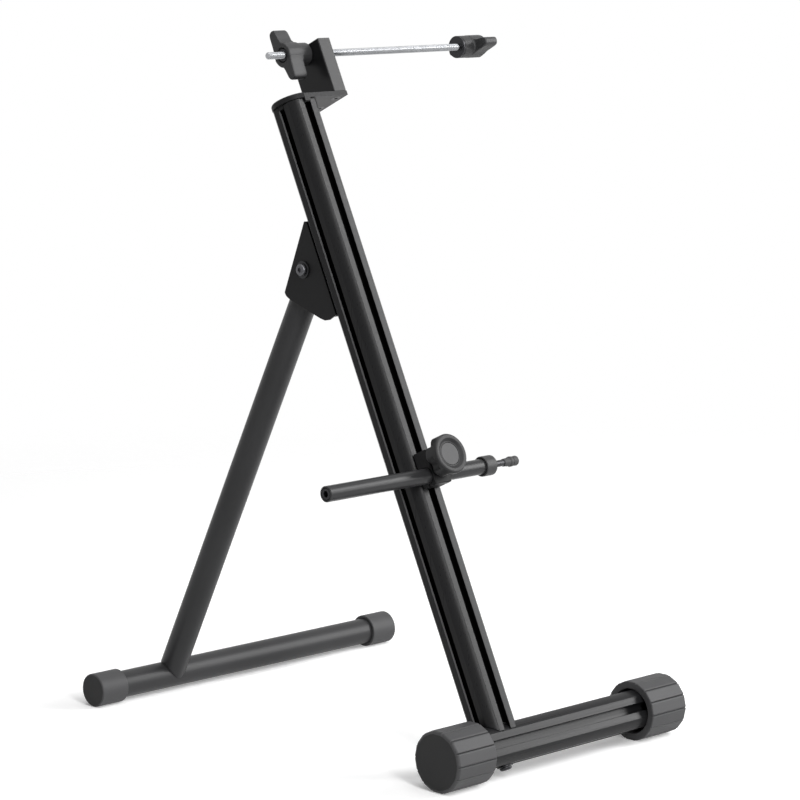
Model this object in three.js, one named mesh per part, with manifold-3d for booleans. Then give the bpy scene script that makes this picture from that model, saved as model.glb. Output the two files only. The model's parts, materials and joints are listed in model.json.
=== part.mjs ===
// Bicycle wheel truing stand: a leaning slotted post on a front foot, a rear leg that folds on a hinge,
// a dropout head with a threaded axle, and a sliding gauge that reads the side of the rim.
// Lengths are millimetres. X runs along both feet, Y from the front foot to the rear one, Z is up.

import * as THREE from 'three';
import { mergeVertices } from 'three/addons/utils/BufferGeometryUtils.js';
import Module from 'manifold-3d';

const wasm = await Module();
wasm.setup();

// Sizes shared by all pieces
const fit = { gap: 0.3, overrun: 3, weld: 0.0001 };
const sides = { fine: 32, round: 24, small: 16, arc: 4 };
const degree = Math.PI / 180;

// Extruded profile with four T-slots, used for the post and for the front foot
const profile = { diameter: 30, across: 26, bore: 5.6, mouth: 5.6, cavity: 9.4, lip: 1.8, depth: 5.4,
  slope: 1.5 };

// Front foot: the profile and two lobed rubber caps
const frontFoot = { length: 222, leftReach: 57.6 };
const frontCap = { wall: 4.9, length: 35, floor: 4, edge: 2, lobes: 14, groove: 0.8, landShare: 0.8 };

// Upright post, measured along its own axis from the axis of the front foot
const post = { length: 450, lean: 25.3 * degree };

// Bolt that holds the post on the foot, driven from below along the post's axis
const footBolt = { shank: 5, headDiameter: 8.4, head: 2, socket: 2.5, reach: 30 };
const footWasher = { diameter: 11, thickness: 0.8 };

// Rear foot and leg: round tube
const tube = { diameter: 19, wall: 1.5 };
const rearFoot = { length: 288.5, leftReach: 72 };
const rearCap = { wall: 2, length: 23, floor: 3, edge: 0.9 };
const leg = { lean: 26.78 * degree };

// Hinge of the leg, placed from the post's top and its axis
const hinge = { below: 106.8, behind: 28 };
const bracket = { sheet: 1.2, inside: 20, bend: 3.4, heel: 24, spread: 5 * degree, shoulder: 11.5,
  reach: 39 };
// Outline of a bracket cheek in shares of its reach, backwards and upwards from the pivot
const cheekShares = [[-0.23, -1.01], [-0.12, -0.98], [-0.03, -0.91], [0.55, -0.35],
  [0.61, -0.27], [0.64, -0.16], [-0.25, 0.71], [-0.3, 0.745], [-0.36, 0.75]];
const cheekFrontShares = { top: 0.72, bottom: -0.99 };
const pivot = { bolt: 5, headDiameter: 8.4, head: 2.4, socket: 3, nutAcross: 8, nut: 4 };
const pivotWasher = { diameter: 11.6, thickness: 1 };
const bush = { diameter: 8.4 };
const bracketScrew = { shank: 5, headDiameter: 11, head: 2.2, socket: 2.5, length: 6.4, below: 31.2,
  pitch: 18 };
const slotNut = { length: 10, tap: 5.6 };

// Head: plate on the post's end, dropout block and end cap
const plate = { thickness: 3.2, start: 3.5, end: 37.5, front: 14.5, back: 16.1, tongue: 14, tongueReach: 8 };
const dropout = { width: 11.5, above: 5.1, slot: 10.4, edge: 0.8 };
const endCap = { overhang: 0.4, height: 3.4, edge: 0.7, peg: 2.6, pegWidth: 5, pegDepth: 4 };
const lug = { side: 0.3, depth: 3, drop: 2 };
const plateScrew = { shank: 5, headDiameter: 9.6, sink: 2.6, socket: 3, reach: 15 };
const blockScrew = { shank: 4, headDiameter: 7.6, sink: 2, socket: 2.5, reach: 12, spread: 18 };

// Axle rod and the two wing nuts
const axle = { diameter: 5, rise: 33.5, behind: 1.3, leftReach: 9, over: 1.9, chamfer: 0.8,
  hubGap: 136 };
const wing = { diameter: 15.8, length: 21.3, thickness: 12, edge: 0.9, recess: 2, recessDiameter: 10.4 };
const insert = { diameter: 9, start: 1, length: 17.5 };
const hubWasher = { diameter: 15.8, thickness: 1.5 };
// Outline of one wing in shares of the nut's radius, sideways and upwards from its axis
const wingShares = [[0, 0], [0.9, 0.1], [0.6, 0.8], [0.3, 1], [0.16, 1.4], [0.03, 2.04], [-0.03, 2.24],
  [-0.16, 2.36], [-0.36, 2.4], [-0.62, 2.33], [-0.75, 2.18], [-0.8, 1.95], [-0.88, 0.3]];

// Gauge: clamp block on the front slot, knob, and the gauge rod that slides through the block
const clamp = { along: 188.5, width: 15, depth: 13.2, above: 8.3, wall: 2, edge: 1.2, slit: 1.2 };
const key = { width: 5, depth: 1.5 };
const knob = { diameter: 27, thickness: 11.2, boss: 15, bossLength: 3.1, lobes: 5, lobe: 2.4, edge: 1.8,
  flange: 3.6, dish: 1.1, dishDiameter: 21, turn: 20 * degree };
const disc = { diameter: 15.2, thickness: 1.2 };
const stud = { diameter: 5, intoKnob: 6 };
const gauge = { diameter: 10.5, wall: 1.2, leftReach: 98.2, rightReach: 50 };
const gaugePlug = { length: 8, hex: 4, hexDepth: 3 };
const collar = { diameter: 13.6, length: 9.6, floor: 2.8, edge: 0.8 };
const pin = { diameter: 4.5, inside: 20, outside: 25 };
const tip = { diameter: 7, length: 7.6, socket: 5, edge: 1.2 };

const finishes = {
  anodised: { color: 0x1d1d1f, roughness: 0.42, metalness: 0.55 },
  powderCoat: { color: 0x202022, roughness: 0.5, metalness: 0.25 },
  rubber: { color: 0x2b2b2c, roughness: 0.78, metalness: 0 },
  nylon: { color: 0x262627, roughness: 0.62, metalness: 0 },
  blackOxide: { color: 0x18181a, roughness: 0.4, metalness: 0.7 },
  zinc: { color: 0xb9bbbe, roughness: 0.3, metalness: 1 },
};

// Lengths that follow from the sizes above
const half = 2;
const quarter = Math.PI / half;
const turnRound = Math.PI * half;
const hingeAlong = post.length - hinge.below;
const frontCapRadius = profile.diameter / half + fit.gap + frontCap.wall;
const lobePitch = turnRound / frontCap.lobes;
const landSide = (lobePitch * frontCap.landShare) / half;
const frontCapReach = (frontCapRadius * Math.cos(lobePitch / half - landSide)) / Math.cos(landSide);
const rearCapRadius = tube.diameter / half + fit.gap + rearCap.wall;
const pivotY = hingeAlong * Math.sin(post.lean) + hinge.behind * Math.cos(post.lean);
const pivotZ = frontCapRadius + hingeAlong * Math.cos(post.lean) - hinge.behind * Math.sin(post.lean);
const legLength = (pivotZ - rearCapRadius) / Math.cos(leg.lean);
const rearFootY = pivotY + legLength * Math.sin(leg.lean);
const openAngle = post.lean + leg.lean;
const flatDistance = profile.across / half;
const plateBase = post.length + fit.gap;
const plateTop = plateBase + plate.thickness;
const blockBase = plateTop + fit.gap;
const axleAlong = blockBase + axle.rise;
const lugStart = lug.side - profile.mouth / half;
const gaugeDrop = (stud.diameter + gauge.diameter) / half + fit.gap * half;
const gaugeForward = flatDistance + fit.gap + clamp.depth / half;

function outlineShape(points) {
  return new THREE.Shape(points.map(([x, y]) => new THREE.Vector2(x, y)));
}

function arcPoints(radius, start, end, steps) {
  return Array.from({ length: steps + 1 }, (unused, i) => {
    const angle = start + ((end - start) * i) / steps;
    return [radius * Math.cos(angle), radius * Math.sin(angle)];
  });
}

function extruded(shape, from, to) {
  const geometry = new THREE.ExtrudeGeometry(shape, { depth: to - from, bevelEnabled: false });
  return geometry.translate(0, 0, from);
}

// Extrusion along Z whose outline edges are rounded on both ends
function softExtruded(shape, from, to, edge) {
  const bevel = { bevelThickness: edge, bevelSize: edge, bevelOffset: -edge, bevelSegments: 3 };
  const geometry = new THREE.ExtrudeGeometry(shape, { depth: to - from - edge * half, ...bevel });
  return geometry.translate(0, 0, from + edge);
}

// Revolved solid about Z; the profile is a list of [radius, height], from the bottom to the top
function turned(points, count = sides.round) {
  const outline = points.map(([radius, height]) => new THREE.Vector2(radius, height));
  return new THREE.LatheGeometry(outline, count).rotateX(quarter);
}

function rod(radius, from, to, count = sides.round) {
  return turned([[0, from], [radius, from], [radius, to], [0, to]], count);
}

function chamferedRod(radius, from, to, chamfer, count = sides.small) {
  const neck = radius - chamfer;
  const ends = [[radius, from + chamfer], [radius, to - chamfer]];
  return turned([[0, from], [neck, from], ...ends, [neck, to], [0, to]], count);
}

function ring(outer, inner, from, to, count = sides.round) {
  return turned([[inner, from], [outer, from], [outer, to], [inner, to], [inner, from]], count);
}

function hexPrism(across, from, to) {
  const radius = across / half / Math.cos(Math.PI / 6);
  return extruded(outlineShape(arcPoints(radius, 0, turnRound, 6).slice(1)), from, to);
}

function box(x, y, z) {
  const [width, depth, height] = [x[1] - x[0], y[1] - y[0], z[1] - z[0]];
  const geometry = new THREE.BoxGeometry(width, depth, height);
  return geometry.translate(x[0] + width / half, y[0] + depth / half, z[0] + height / half);
}

// Skin over rings of equal point count, closed by a fan at both ends; rings run anticlockwise seen from
// the last
function lofted(rings) {
  const count = rings[0].length;
  const centres = [rings[0], rings[rings.length - 1]].map((points) => {
    const centre = new THREE.Vector3();
    points.forEach((point) => centre.add(point));
    return centre.divideScalar(count);
  });
  const index = [];
  const first = rings.length * count;
  for (let i = 0; i < count; i += 1) {
    const next = (i + 1) % count;
    for (let k = 0; k < rings.length - 1; k += 1) {
      const [a, b, c, d] = [k * count + i, k * count + next, (k + 1) * count + next, (k + 1) * count + i];
      index.push(a, b, c, a, c, d);
    }
    const top = (rings.length - 1) * count;
    index.push(first, next, i, first + 1, top + i, top + next);
  }
  return new THREE.BufferGeometry().setFromPoints([...rings.flat(), ...centres]).setIndex(index);
}

const alongX = (geometry) => geometry.rotateY(quarter);
const fromYZ = (geometry) => geometry.rotateZ(quarter).rotateY(quarter);

// Welded copy with only positions left and no collapsed triangles
function welded(geometry) {
  const bare = geometry.clone();
  const extra = Object.keys(bare.attributes).filter((key) => key !== 'position');
  extra.forEach((key) => bare.deleteAttribute(key));
  const merged = mergeVertices(bare, fit.weld);
  const kept = [];
  for (let i = 0; i < merged.index.count; i += 3) {
    const corners = [0, 1, 2].map((k) => merged.index.getX(i + k));
    if (new Set(corners).size === corners.length) kept.push(...corners);
  }
  return merged.setIndex(kept);
}

function toSolid(geometry) {
  const mesh = welded(geometry);
  const vertProperties = mesh.attributes.position.array;
  const triVerts = new Uint32Array(mesh.index.array);
  return new wasm.Manifold(new wasm.Mesh({ numProp: 3, vertProperties, triVerts }));
}

function toGeometry(solid) {
  const { vertProperties, triVerts } = solid.getMesh();
  const geometry = new THREE.BufferGeometry();
  geometry.setAttribute('position', new THREE.BufferAttribute(vertProperties, 3));
  return geometry.setIndex(new THREE.BufferAttribute(triVerts, 1));
}

const combine = (method) => (first, ...others) =>
  toGeometry(others.reduce((solid, other) => solid[method](toSolid(other)), toSolid(first)));
const cut = combine('subtract');
const join = combine('add');
const common = combine('intersect');

function addPiece(group, name, geometry, finish) {
  const mesh = new THREE.Mesh(geometry, new THREE.MeshStandardMaterial(finishes[finish]));
  mesh.name = name;
  group.add(mesh);
}

// Round outline with four flats, grown by a margin
function roundedOutline(margin = 0) {
  const radius = profile.diameter / half + margin;
  const corner = Math.acos((flatDistance + margin) / radius);
  const side = (i) => arcPoints(radius, i * quarter + corner, (i + 1) * quarter - corner, sides.arc);
  return [0, 1, 2, 3].flatMap(side);
}

// One T-slot in the side that faces +Y, from right to left
function slotPoints() {
  const [mouth, cavity] = [profile.mouth / half, profile.cavity / half];
  const [under, floor] = [flatDistance - profile.lip, flatDistance - profile.depth];
  const right = [
    [mouth, flatDistance],
    [mouth, under],
    [cavity, under],
    [cavity, floor + profile.slope],
    [cavity - profile.slope, floor],
  ];
  return [...right, ...right.map(([x, y]) => [-x, y]).reverse()];
}

function profileShape() {
  const radius = profile.diameter / half;
  const corner = Math.acos(flatDistance / radius);
  const points = [0, 1, 2, 3].flatMap((side) => {
    const turn = side * quarter;
    const [cos, sin] = [Math.cos(turn), Math.sin(turn)];
    const slot = slotPoints().map(([x, y]) => [x * cos - y * sin, x * sin + y * cos]);
    const [start, end] = [turn + quarter + corner, turn + half * quarter - corner];
    return [...slot, ...arcPoints(radius, start, end, sides.arc)];
  });
  const shape = outlineShape(points);
  shape.holes.push(new THREE.Path().absarc(0, 0, profile.bore / half, 0, turnRound, true));
  return shape;
}

// Nut that slides in a T-slot, lying in the slot that faces +Y and centred on its thread
function slotNutGeometry() {
  const [top, floor] = [flatDistance - profile.lip - fit.gap, flatDistance - profile.depth + fit.gap];
  const wide = profile.cavity / half - fit.gap;
  const shape = outlineShape([
    [wide, top],
    [-wide, top],
    [-wide, floor + profile.slope],
    [-wide + profile.slope, floor],
    [wide - profile.slope, floor],
    [wide, floor + profile.slope],
  ]);
  const body = extruded(shape, -slotNut.length / half, slotNut.length / half);
  const tap = rod(slotNut.tap / half, floor - fit.overrun, top + fit.overrun, sides.small).rotateX(-quarter);
  return cut(body, tap);
}

// Screw with a low round head and a hexagon socket; the head stands on Z = 0 and the shank hangs below
function buttonScrew({ shank, headDiameter, head, socket }, length) {
  const [radius, core] = [headDiameter / half, shank / half];
  const body = turned([
    [0, -length],
    [core, -length],
    [core, 0],
    [radius, 0],
    [radius, head * 0.35],
    [radius * 0.7, head],
    [0, head],
  ], sides.small);
  return cut(body, hexPrism(socket, head / half, head + fit.overrun));
}

// Countersunk screw; its flat top lies at Z = 0
function sunkScrew({ shank, headDiameter, sink, socket }, length) {
  const [radius, core] = [headDiameter / half, shank / half];
  const body = turned([[0, -length], [core, -length], [core, -sink], [radius, 0], [0, 0]], sides.small);
  return cut(body, hexPrism(socket, -sink * 0.7, fit.overrun));
}

// Hole for a countersunk screw, a gap wider all round
function sunkHole({ shank, headDiameter, sink }, length) {
  const [radius, core] = [headDiameter / half + fit.gap, shank / half + fit.gap];
  const cone = [[core, -length], [core, -sink], [radius, 0]];
  return turned([[0, -length], ...cone, [radius, fit.overrun], [0, fit.overrun]], sides.small);
}

// Outline of a front cap: flat lands parted by shallow grooves, with a land facing straight down
function lobedRing(radius, groove, height) {
  const middles = Array.from({ length: frontCap.lobes }, (unused, i) => i * lobePitch);
  return middles.flatMap((middle) => [
    [middle - lobePitch / half, radius - groove],
    [middle - landSide, radius / Math.cos(landSide)],
    [middle + landSide, radius / Math.cos(landSide)],
  ]).map(([angle, reach]) => new THREE.Vector3(reach * Math.cos(angle), reach * Math.sin(angle), height));
}

// Rubber cap, open at Z = 0 and closed at its length
function frontCapGeometry() {
  const radius = frontCapRadius;
  const { length, edge, groove } = frontCap;
  const outer = lofted([
    lobedRing(radius - edge * 0.4, groove / half, 0),
    lobedRing(radius, groove, edge * 0.4),
    lobedRing(radius, groove, length - edge),
    lobedRing(radius - edge * 0.3, groove / half, length - edge * 0.3),
    lobedRing(radius - edge, 0, length),
  ]);
  const bore = rod(profile.diameter / half + fit.gap, -fit.overrun, length - frontCap.floor, sides.fine);
  return cut(outer, bore);
}

function rearCapGeometry() {
  const radius = rearCapRadius / Math.cos(Math.PI / sides.round);
  const { length, edge, floor } = rearCap;
  const bore = tube.diameter / half + fit.gap;
  const outline = [
    [bore, 0],
    [radius - edge / half, 0],
    [radius, edge / half],
    [radius, length - edge],
    [radius - edge * 0.3, length - edge * 0.3],
    [radius - edge, length],
    [0, length],
    [0, length - floor],
    [bore, length - floor],
    [bore, 0],
  ];
  return turned(outline).rotateZ(Math.PI / sides.round);
}

function buildFrontFoot() {
  const foot = new THREE.Group();
  const [left, right] = [-frontFoot.leftReach, frontFoot.length - frontFoot.leftReach];
  const inset = frontCap.floor + fit.gap;
  const bar = fromYZ(extruded(profileShape(), left + inset, right - inset));
  const boltHole = rod(footBolt.shank / half + fit.gap, -frontFoot.length, frontFoot.length, sides.small);
  addPiece(foot, 'front_foot_bar', cut(bar, boltHole).rotateX(-post.lean), 'anodised');
  const leftCap = frontCapGeometry().rotateY(-quarter).translate(left + frontCap.length, 0, 0);
  addPiece(foot, 'front_foot_cap_left', leftCap, 'rubber');
  const rightCap = alongX(frontCapGeometry()).translate(right - frontCap.length, 0, 0);
  addPiece(foot, 'front_foot_cap_right', rightCap, 'rubber');
  foot.position.z = frontCapRadius;
  return foot;
}

function buildRearFoot() {
  const foot = new THREE.Group();
  const [left, right] = [-rearFoot.leftReach, rearFoot.length - rearFoot.leftReach];
  const inset = rearCap.floor + fit.gap;
  const bar = ring(tube.diameter / half, tube.diameter / half - tube.wall, left + inset, right - inset);
  addPiece(foot, 'rear_foot_tube', alongX(bar), 'powderCoat');
  const leftCap = alongX(rearCapGeometry().rotateX(Math.PI)).translate(left + rearCap.length, 0, 0);
  addPiece(foot, 'rear_foot_cap_left', leftCap, 'rubber');
  const rightCap = alongX(rearCapGeometry()).translate(right - rearCap.length, 0, 0);
  addPiece(foot, 'rear_foot_cap_right', rightCap, 'rubber');
  foot.position.z = -legLength;
  foot.rotation.x = -leg.lean;
  return foot;
}

// Rounded end of the leg about the pivot: everything below the pivot, and a half round above it
function legEnvelope(radius) {
  const below = box([-tube.diameter, tube.diameter], [-tube.diameter, tube.diameter], [-legLength, 0]);
  return join(below, alongX(rod(radius, -tube.diameter, tube.diameter, sides.fine)));
}

function buildLeg() {
  const group = new THREE.Group();
  const radius = tube.diameter / half;
  const inner = radius - tube.wall;
  const wall = ring(radius, inner, -legLength, radius);
  const across = [-tube.diameter, tube.diameter];
  const saddle = alongX(rod(radius + fit.gap, ...across, sides.fine)).translate(0, 0, -legLength);
  const foot = box(across, across, [-legLength * half, -legLength]);
  const cross = alongX(rod(bush.diameter / half + fit.gap, ...across, sides.small));
  const body = cut(common(wall, legEnvelope(radius)), saddle, foot, cross);
  addPiece(group, 'rear_leg_tube', body, 'powderCoat');
  const plugLength = tube.diameter;
  const plug = rod(inner - fit.gap, -plugLength, radius);
  addPiece(group, 'rear_leg_plug', cut(common(plug, legEnvelope(radius - fit.gap)), cross), 'nylon');
  const reach = bracket.inside / half - fit.gap;
  const sleeve = ring(bush.diameter / half, pivot.bolt / half + fit.gap, -reach, reach, sides.small);
  addPiece(group, 'hinge_bush', alongX(sleeve), 'zinc');
  group.add(buildRearFoot());
  group.position.set(0, pivotY, pivotZ);
  group.rotation.x = leg.lean;
  return group;
}

// Point at a distance down the leg and behind its axis, in the post's own Y and Z
function besideLeg(down, behind) {
  return [
    hinge.behind + down * Math.sin(openAngle) + behind * Math.cos(openAngle),
    hingeAlong - down * Math.cos(openAngle) + behind * Math.sin(openAngle),
  ];
}

// Line of the bracket's rear web, a margin outside its inner face, at a distance down the leg
function webPoint(down, margin) {
  const contact = tube.diameter / half + fit.gap + margin;
  return besideLeg(down, contact + (bracket.heel - down) * Math.tan(bracket.spread));
}

function bracketOutline() {
  const place = ([back, up]) => [hinge.behind + back * bracket.reach, hingeAlong + up * bracket.reach];
  const ends = [cheekFrontShares.top, cheekFrontShares.bottom];
  const front = ends.map((up) => [bracket.shoulder, place([0, up])[1]]);
  return outlineShape([...cheekShares.map(place), ...front]);
}

// Wedge between the post and the rear web, a margin outside the web's inner face
function bracketWedge(margin, width, edge) {
  const shape = outlineShape([
    [flatDistance - bracket.inside, hingeAlong - bracket.reach - bracket.inside],
    webPoint(bracket.reach, margin),
    webPoint(-hinge.behind * half, margin),
  ]);
  return fromYZ(softExtruded(shape, -width / half, width / half, edge));
}

// Folded sheet: web behind the leg, two cheeks, and two lips that lie on the post's rear flat
function bracketGeometry() {
  const outside = bracket.inside + bracket.sheet * half;
  const body = bracketWedge(bracket.sheet, outside, bracket.bend);
  const trim = fromYZ(extruded(bracketOutline(), -outside, outside));
  const lipFace = flatDistance + fit.gap;
  const across = [-bracket.inside / half, bracket.inside / half];
  const height = [hingeAlong - bracket.reach * half, hingeAlong + bracket.reach];
  const inner = bracketWedge(0, bracket.inside, bracket.bend - bracket.sheet);
  const room = cut(inner, box([-outside, outside], [-outside * half, lipFace + bracket.sheet], height));
  const front = box(across, [-outside * half, lipFace], height);
  const opening = bracketScrew.shank / half + fit.gap * 1.5;
  const lipGap = box([-opening, opening], [-outside * half, lipFace + bracket.sheet + fit.overrun], height);
  const bolt = alongX(rod(pivot.bolt / half + fit.gap, -outside, outside, sides.small));
  return cut(common(body, trim), room, front, lipGap, bolt.translate(0, hinge.behind, hingeAlong));
}

// Pivot bolt with its nut and two washers, drawn about the pivot with its head on the left
function addPivot(group) {
  const place = (geometry) => alongX(geometry).translate(0, hinge.behind, hingeAlong);
  const bore = pivot.bolt / half + fit.gap;
  const { diameter, thickness } = pivotWasher;
  const seat = bracket.inside / half + bracket.sheet + fit.gap;
  const washer = (from) => place(ring(diameter / half, bore, from, from + thickness));
  addPiece(group, 'hinge_washer_left', washer(-seat - thickness), 'blackOxide');
  addPiece(group, 'hinge_washer_right', washer(seat), 'blackOxide');
  const headSeat = seat + thickness + fit.gap;
  const bolt = buttonScrew({ ...pivot, shank: pivot.bolt }, headSeat * half + pivot.nut + fit.gap);
  addPiece(group, 'hinge_bolt', place(bolt.rotateX(Math.PI).translate(0, 0, -headSeat)), 'blackOxide');
  const hole = rod(bore, headSeat - fit.overrun, headSeat + pivot.nut + fit.overrun, sides.small);
  const nut = hexPrism(pivot.nutAcross, headSeat, headSeat + pivot.nut);
  addPiece(group, 'hinge_nut', place(cut(nut, hole)), 'zinc');
}

function addBracket(group) {
  addPiece(group, 'hinge_bracket', bracketGeometry(), 'powderCoat');
  const seatPlane = flatDistance + bracket.sheet + fit.gap * half;
  ['lower', 'upper'].forEach((place, i) => {
    const height = hingeAlong - bracketScrew.below + i * bracketScrew.pitch;
    const screw = buttonScrew(bracketScrew, bracketScrew.length).rotateX(-quarter);
    addPiece(group, `bracket_screw_${place}`, screw.translate(0, seatPlane, height), 'blackOxide');
    addPiece(group, `bracket_slot_nut_${place}`, slotNutGeometry().translate(0, 0, height), 'zinc');
  });
  addPivot(group);
}

function postGeometry() {
  const bar = extruded(profileShape(), 0, post.length);
  const across = [-profile.diameter, profile.diameter];
  const saddle = fromYZ(extruded(outlineShape(roundedOutline(fit.gap)), ...across));
  const below = box(across, across, [-profile.diameter, 0]);
  return cut(bar, saddle, below);
}

function addFootBolt(group) {
  const washerStart = -flatDistance - fit.gap - footWasher.thickness;
  const bore = footBolt.shank / half + fit.gap;
  const washer = ring(footWasher.diameter / half, bore, washerStart, washerStart + footWasher.thickness);
  addPiece(group, 'foot_bolt_washer', washer, 'blackOxide');
  const seatPlane = washerStart - fit.gap;
  const bolt = buttonScrew(footBolt, footBolt.reach - seatPlane).rotateX(Math.PI);
  addPiece(group, 'foot_bolt', bolt.translate(0, 0, seatPlane), 'blackOxide');
}

function plateGeometry() {
  const tongue = plate.tongue / half;
  const shape = outlineShape([
    [plate.start, -plate.front],
    [plate.end, -plate.front],
    [plate.end, plate.back],
    [plate.start, plate.back],
    [plate.start, tongue],
    [-plate.tongueReach, tongue],
    [-plate.tongueReach, -tongue],
    [plate.start, -tongue],
  ]);
  const screwHole = sunkHole(plateScrew, plate.thickness + fit.overrun).translate(0, 0, plateTop);
  const blockHoles = blockScrewPlaces().map(([x, y]) =>
    sunkHole(blockScrew, plate.thickness + fit.overrun).rotateX(Math.PI).translate(x, y, plateBase));
  const lugDepth = [-plate.front, lug.depth - plate.front];
  const bridge = box([lugStart, plate.start + lug.depth], lugDepth, [plateBase, plateTop]);
  const locator = box([lugStart, -lugStart], lugDepth, [post.length - lug.drop, plateTop]);
  return cut(join(extruded(shape, plateBase, plateTop), bridge, locator), screwHole, ...blockHoles);
}

function blockScrewPlaces() {
  const x = plate.end - dropout.width / half;
  const middle = (plate.back - plate.front) / half;
  return [[x, middle - blockScrew.spread / half], [x, middle + blockScrew.spread / half]];
}

// Dropout block: a thick plate with a slot, open at the top, that takes the end of a hub's axle
function dropoutGeometry() {
  const top = axleAlong + dropout.above;
  const radius = dropout.slot / half;
  const bottom = arcPoints(radius, 0, -Math.PI, sides.arc * 3);
  const shape = outlineShape([
    [-plate.front, blockBase],
    [plate.back, blockBase],
    [plate.back, top],
    [axle.behind + radius, top],
    ...bottom.map(([y, z]) => [y + axle.behind, z + axleAlong]),
    [axle.behind - radius, top],
    [-plate.front, top],
  ]);
  const body = softExtruded(shape, plate.end - dropout.width, plate.end, dropout.edge);
  const holes = blockScrewPlaces().map(([x, y]) => {
    const radius = blockScrew.shank / half + fit.gap;
    const hole = rod(radius, plateBase, blockBase + blockScrew.reach, sides.small);
    return hole.translate(x, y, 0);
  });
  return cut(fromYZ(body), ...holes);
}

function endCapGeometry() {
  const radius = profile.diameter / half + endCap.overhang;
  const top = plateBase + endCap.height;
  const lid = turned([
    [0, plateBase],
    [radius, plateBase],
    [radius, top - endCap.edge],
    [radius - endCap.edge, top],
    [0, top],
  ], sides.fine);
  const peg = (turn) => box(
    [-endCap.pegWidth / half, endCap.pegWidth / half],
    [flatDistance - endCap.pegDepth, flatDistance],
    [plateBase - endCap.peg, plateBase + fit.gap],
  ).rotateZ(turn);
  const wide = plate.tongue / half + fit.gap;
  const [far, low, high] = [radius * half, plateBase - fit.overrun, top + fit.overrun];
  const pocket = box([-plate.tongueReach - fit.gap, far], [-wide, wide], [low, plateTop + fit.gap]);
  const side = box([plate.start - fit.gap, far], [-far, far], [low, high]);
  const notch = box([lugStart - fit.gap, far], [-far, lug.depth + fit.gap - plate.front], [low, high]);
  return cut(join(lid, peg(0), peg(quarter)), pocket, side, notch);
}

function addHead(group) {
  addPiece(group, 'head_plate', plateGeometry(), 'powderCoat');
  addPiece(group, 'dropout_block', dropoutGeometry(), 'powderCoat');
  addPiece(group, 'post_end_cap', endCapGeometry(), 'nylon');
  const plateScrewGeometry = sunkScrew(plateScrew, plate.thickness + plateScrew.reach);
  addPiece(group, 'head_plate_screw', plateScrewGeometry.translate(0, 0, plateTop), 'blackOxide');
  blockScrewPlaces().forEach(([x, y], i) => {
    const screw = sunkScrew(blockScrew, blockScrew.reach).rotateX(Math.PI);
    addPiece(group, `dropout_screw_${['front', 'rear'][i]}`, screw.translate(x, y, plateBase), 'blackOxide');
  });
}

// Wing nut that bears on Z = 0 and shows its outer face at its length
function wingNutGeometry() {
  const radius = wing.diameter / half;
  const start = wing.length - wing.thickness;
  const hub = turned([
    [0, 0],
    [radius, 0],
    [radius, wing.length - wing.edge],
    [radius - wing.edge, wing.length],
    [0, wing.length],
  ]);
  const outline = outlineShape(wingShares.map(([x, y]) => [x * radius, y * radius]));
  const blade = softExtruded(outline, start, wing.length, wing.edge);
  const above = wing.length + fit.overrun;
  const recess = rod(wing.recessDiameter / half, wing.length - wing.recess, above, sides.small);
  const bore = rod(axle.diameter / half + fit.gap, -fit.overrun, above, sides.small);
  const seat = rod(insert.diameter / half + fit.gap, insert.start, above, sides.small);
  return cut(join(hub, blade, blade.clone().rotateZ(Math.PI)), recess, bore, seat);
}

function insertGeometry() {
  const start = insert.start + fit.gap;
  const bore = axle.diameter / half + fit.gap;
  return ring(insert.diameter / half, bore, start, start + insert.length, sides.small);
}

// Axle rod with the left nut against the dropout block and the right nut towards its far end
function addAxle(group) {
  const place = (geometry, x) => geometry.translate(x, axle.behind, axleAlong);
  const leftSeat = plate.end - dropout.width - fit.gap;
  const facingLeft = (geometry) => place(geometry.rotateZ(-quarter).rotateY(-quarter), leftSeat);
  addPiece(group, 'wing_nut_left', facingLeft(wingNutGeometry()), 'nylon');
  addPiece(group, 'wing_nut_left_insert', facingLeft(insertGeometry()), 'blackOxide');
  const washerStart = plate.end + axle.hubGap;
  const washerEnd = washerStart + hubWasher.thickness;
  const washer = ring(hubWasher.diameter / half, axle.diameter / half + fit.gap, washerStart, washerEnd);
  addPiece(group, 'hub_washer', place(alongX(washer), 0), 'blackOxide');
  const rightSeat = washerEnd + fit.gap;
  const rightEnd = rightSeat + wing.length + axle.over;
  const shaft = chamferedRod(axle.diameter / half, -axle.leftReach, rightEnd, axle.chamfer);
  addPiece(group, 'axle_rod', place(alongX(shaft), 0), 'zinc');
  const facingRight = (geometry) => place(alongX(geometry), rightSeat);
  addPiece(group, 'wing_nut_right', facingRight(wingNutGeometry()), 'nylon');
  addPiece(group, 'wing_nut_right_insert', facingRight(insertGeometry()), 'blackOxide');
}

// Block with a key in the post's front slot, a bore for the gauge tube and a slit that lets the bore close
function clampGeometry() {
  const [back, front] = [flatDistance + fit.gap, flatDistance + fit.gap + clamp.depth];
  const wide = clamp.width / half;
  const below = gaugeDrop + gauge.diameter / half + clamp.wall;
  const outline = outlineShape([[-wide, -below], [wide, -below], [wide, clamp.above], [-wide, clamp.above]]);
  const block = softExtruded(outline, back, front, clamp.edge);
  const keyHeight = [clamp.edge - below, clamp.above - clamp.edge];
  const ridge = box([-key.width / half, key.width / half], keyHeight, [back - key.depth, back + clamp.edge]);
  const bore = rod(stud.diameter / half + fit.gap, back - fit.overrun, front + fit.overrun, sides.small);
  const gaugeBore = alongX(rod(gauge.diameter / half + fit.gap, -clamp.width, clamp.width));
  const slitDepth = [gaugeForward - clamp.slit / half, gaugeForward + clamp.slit / half];
  const slit = box([-clamp.width, clamp.width], [-below - fit.overrun, -gaugeDrop], slitDepth);
  return cut(join(block, ridge), bore, gaugeBore.translate(0, -gaugeDrop, gaugeForward), slit);
}

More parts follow.
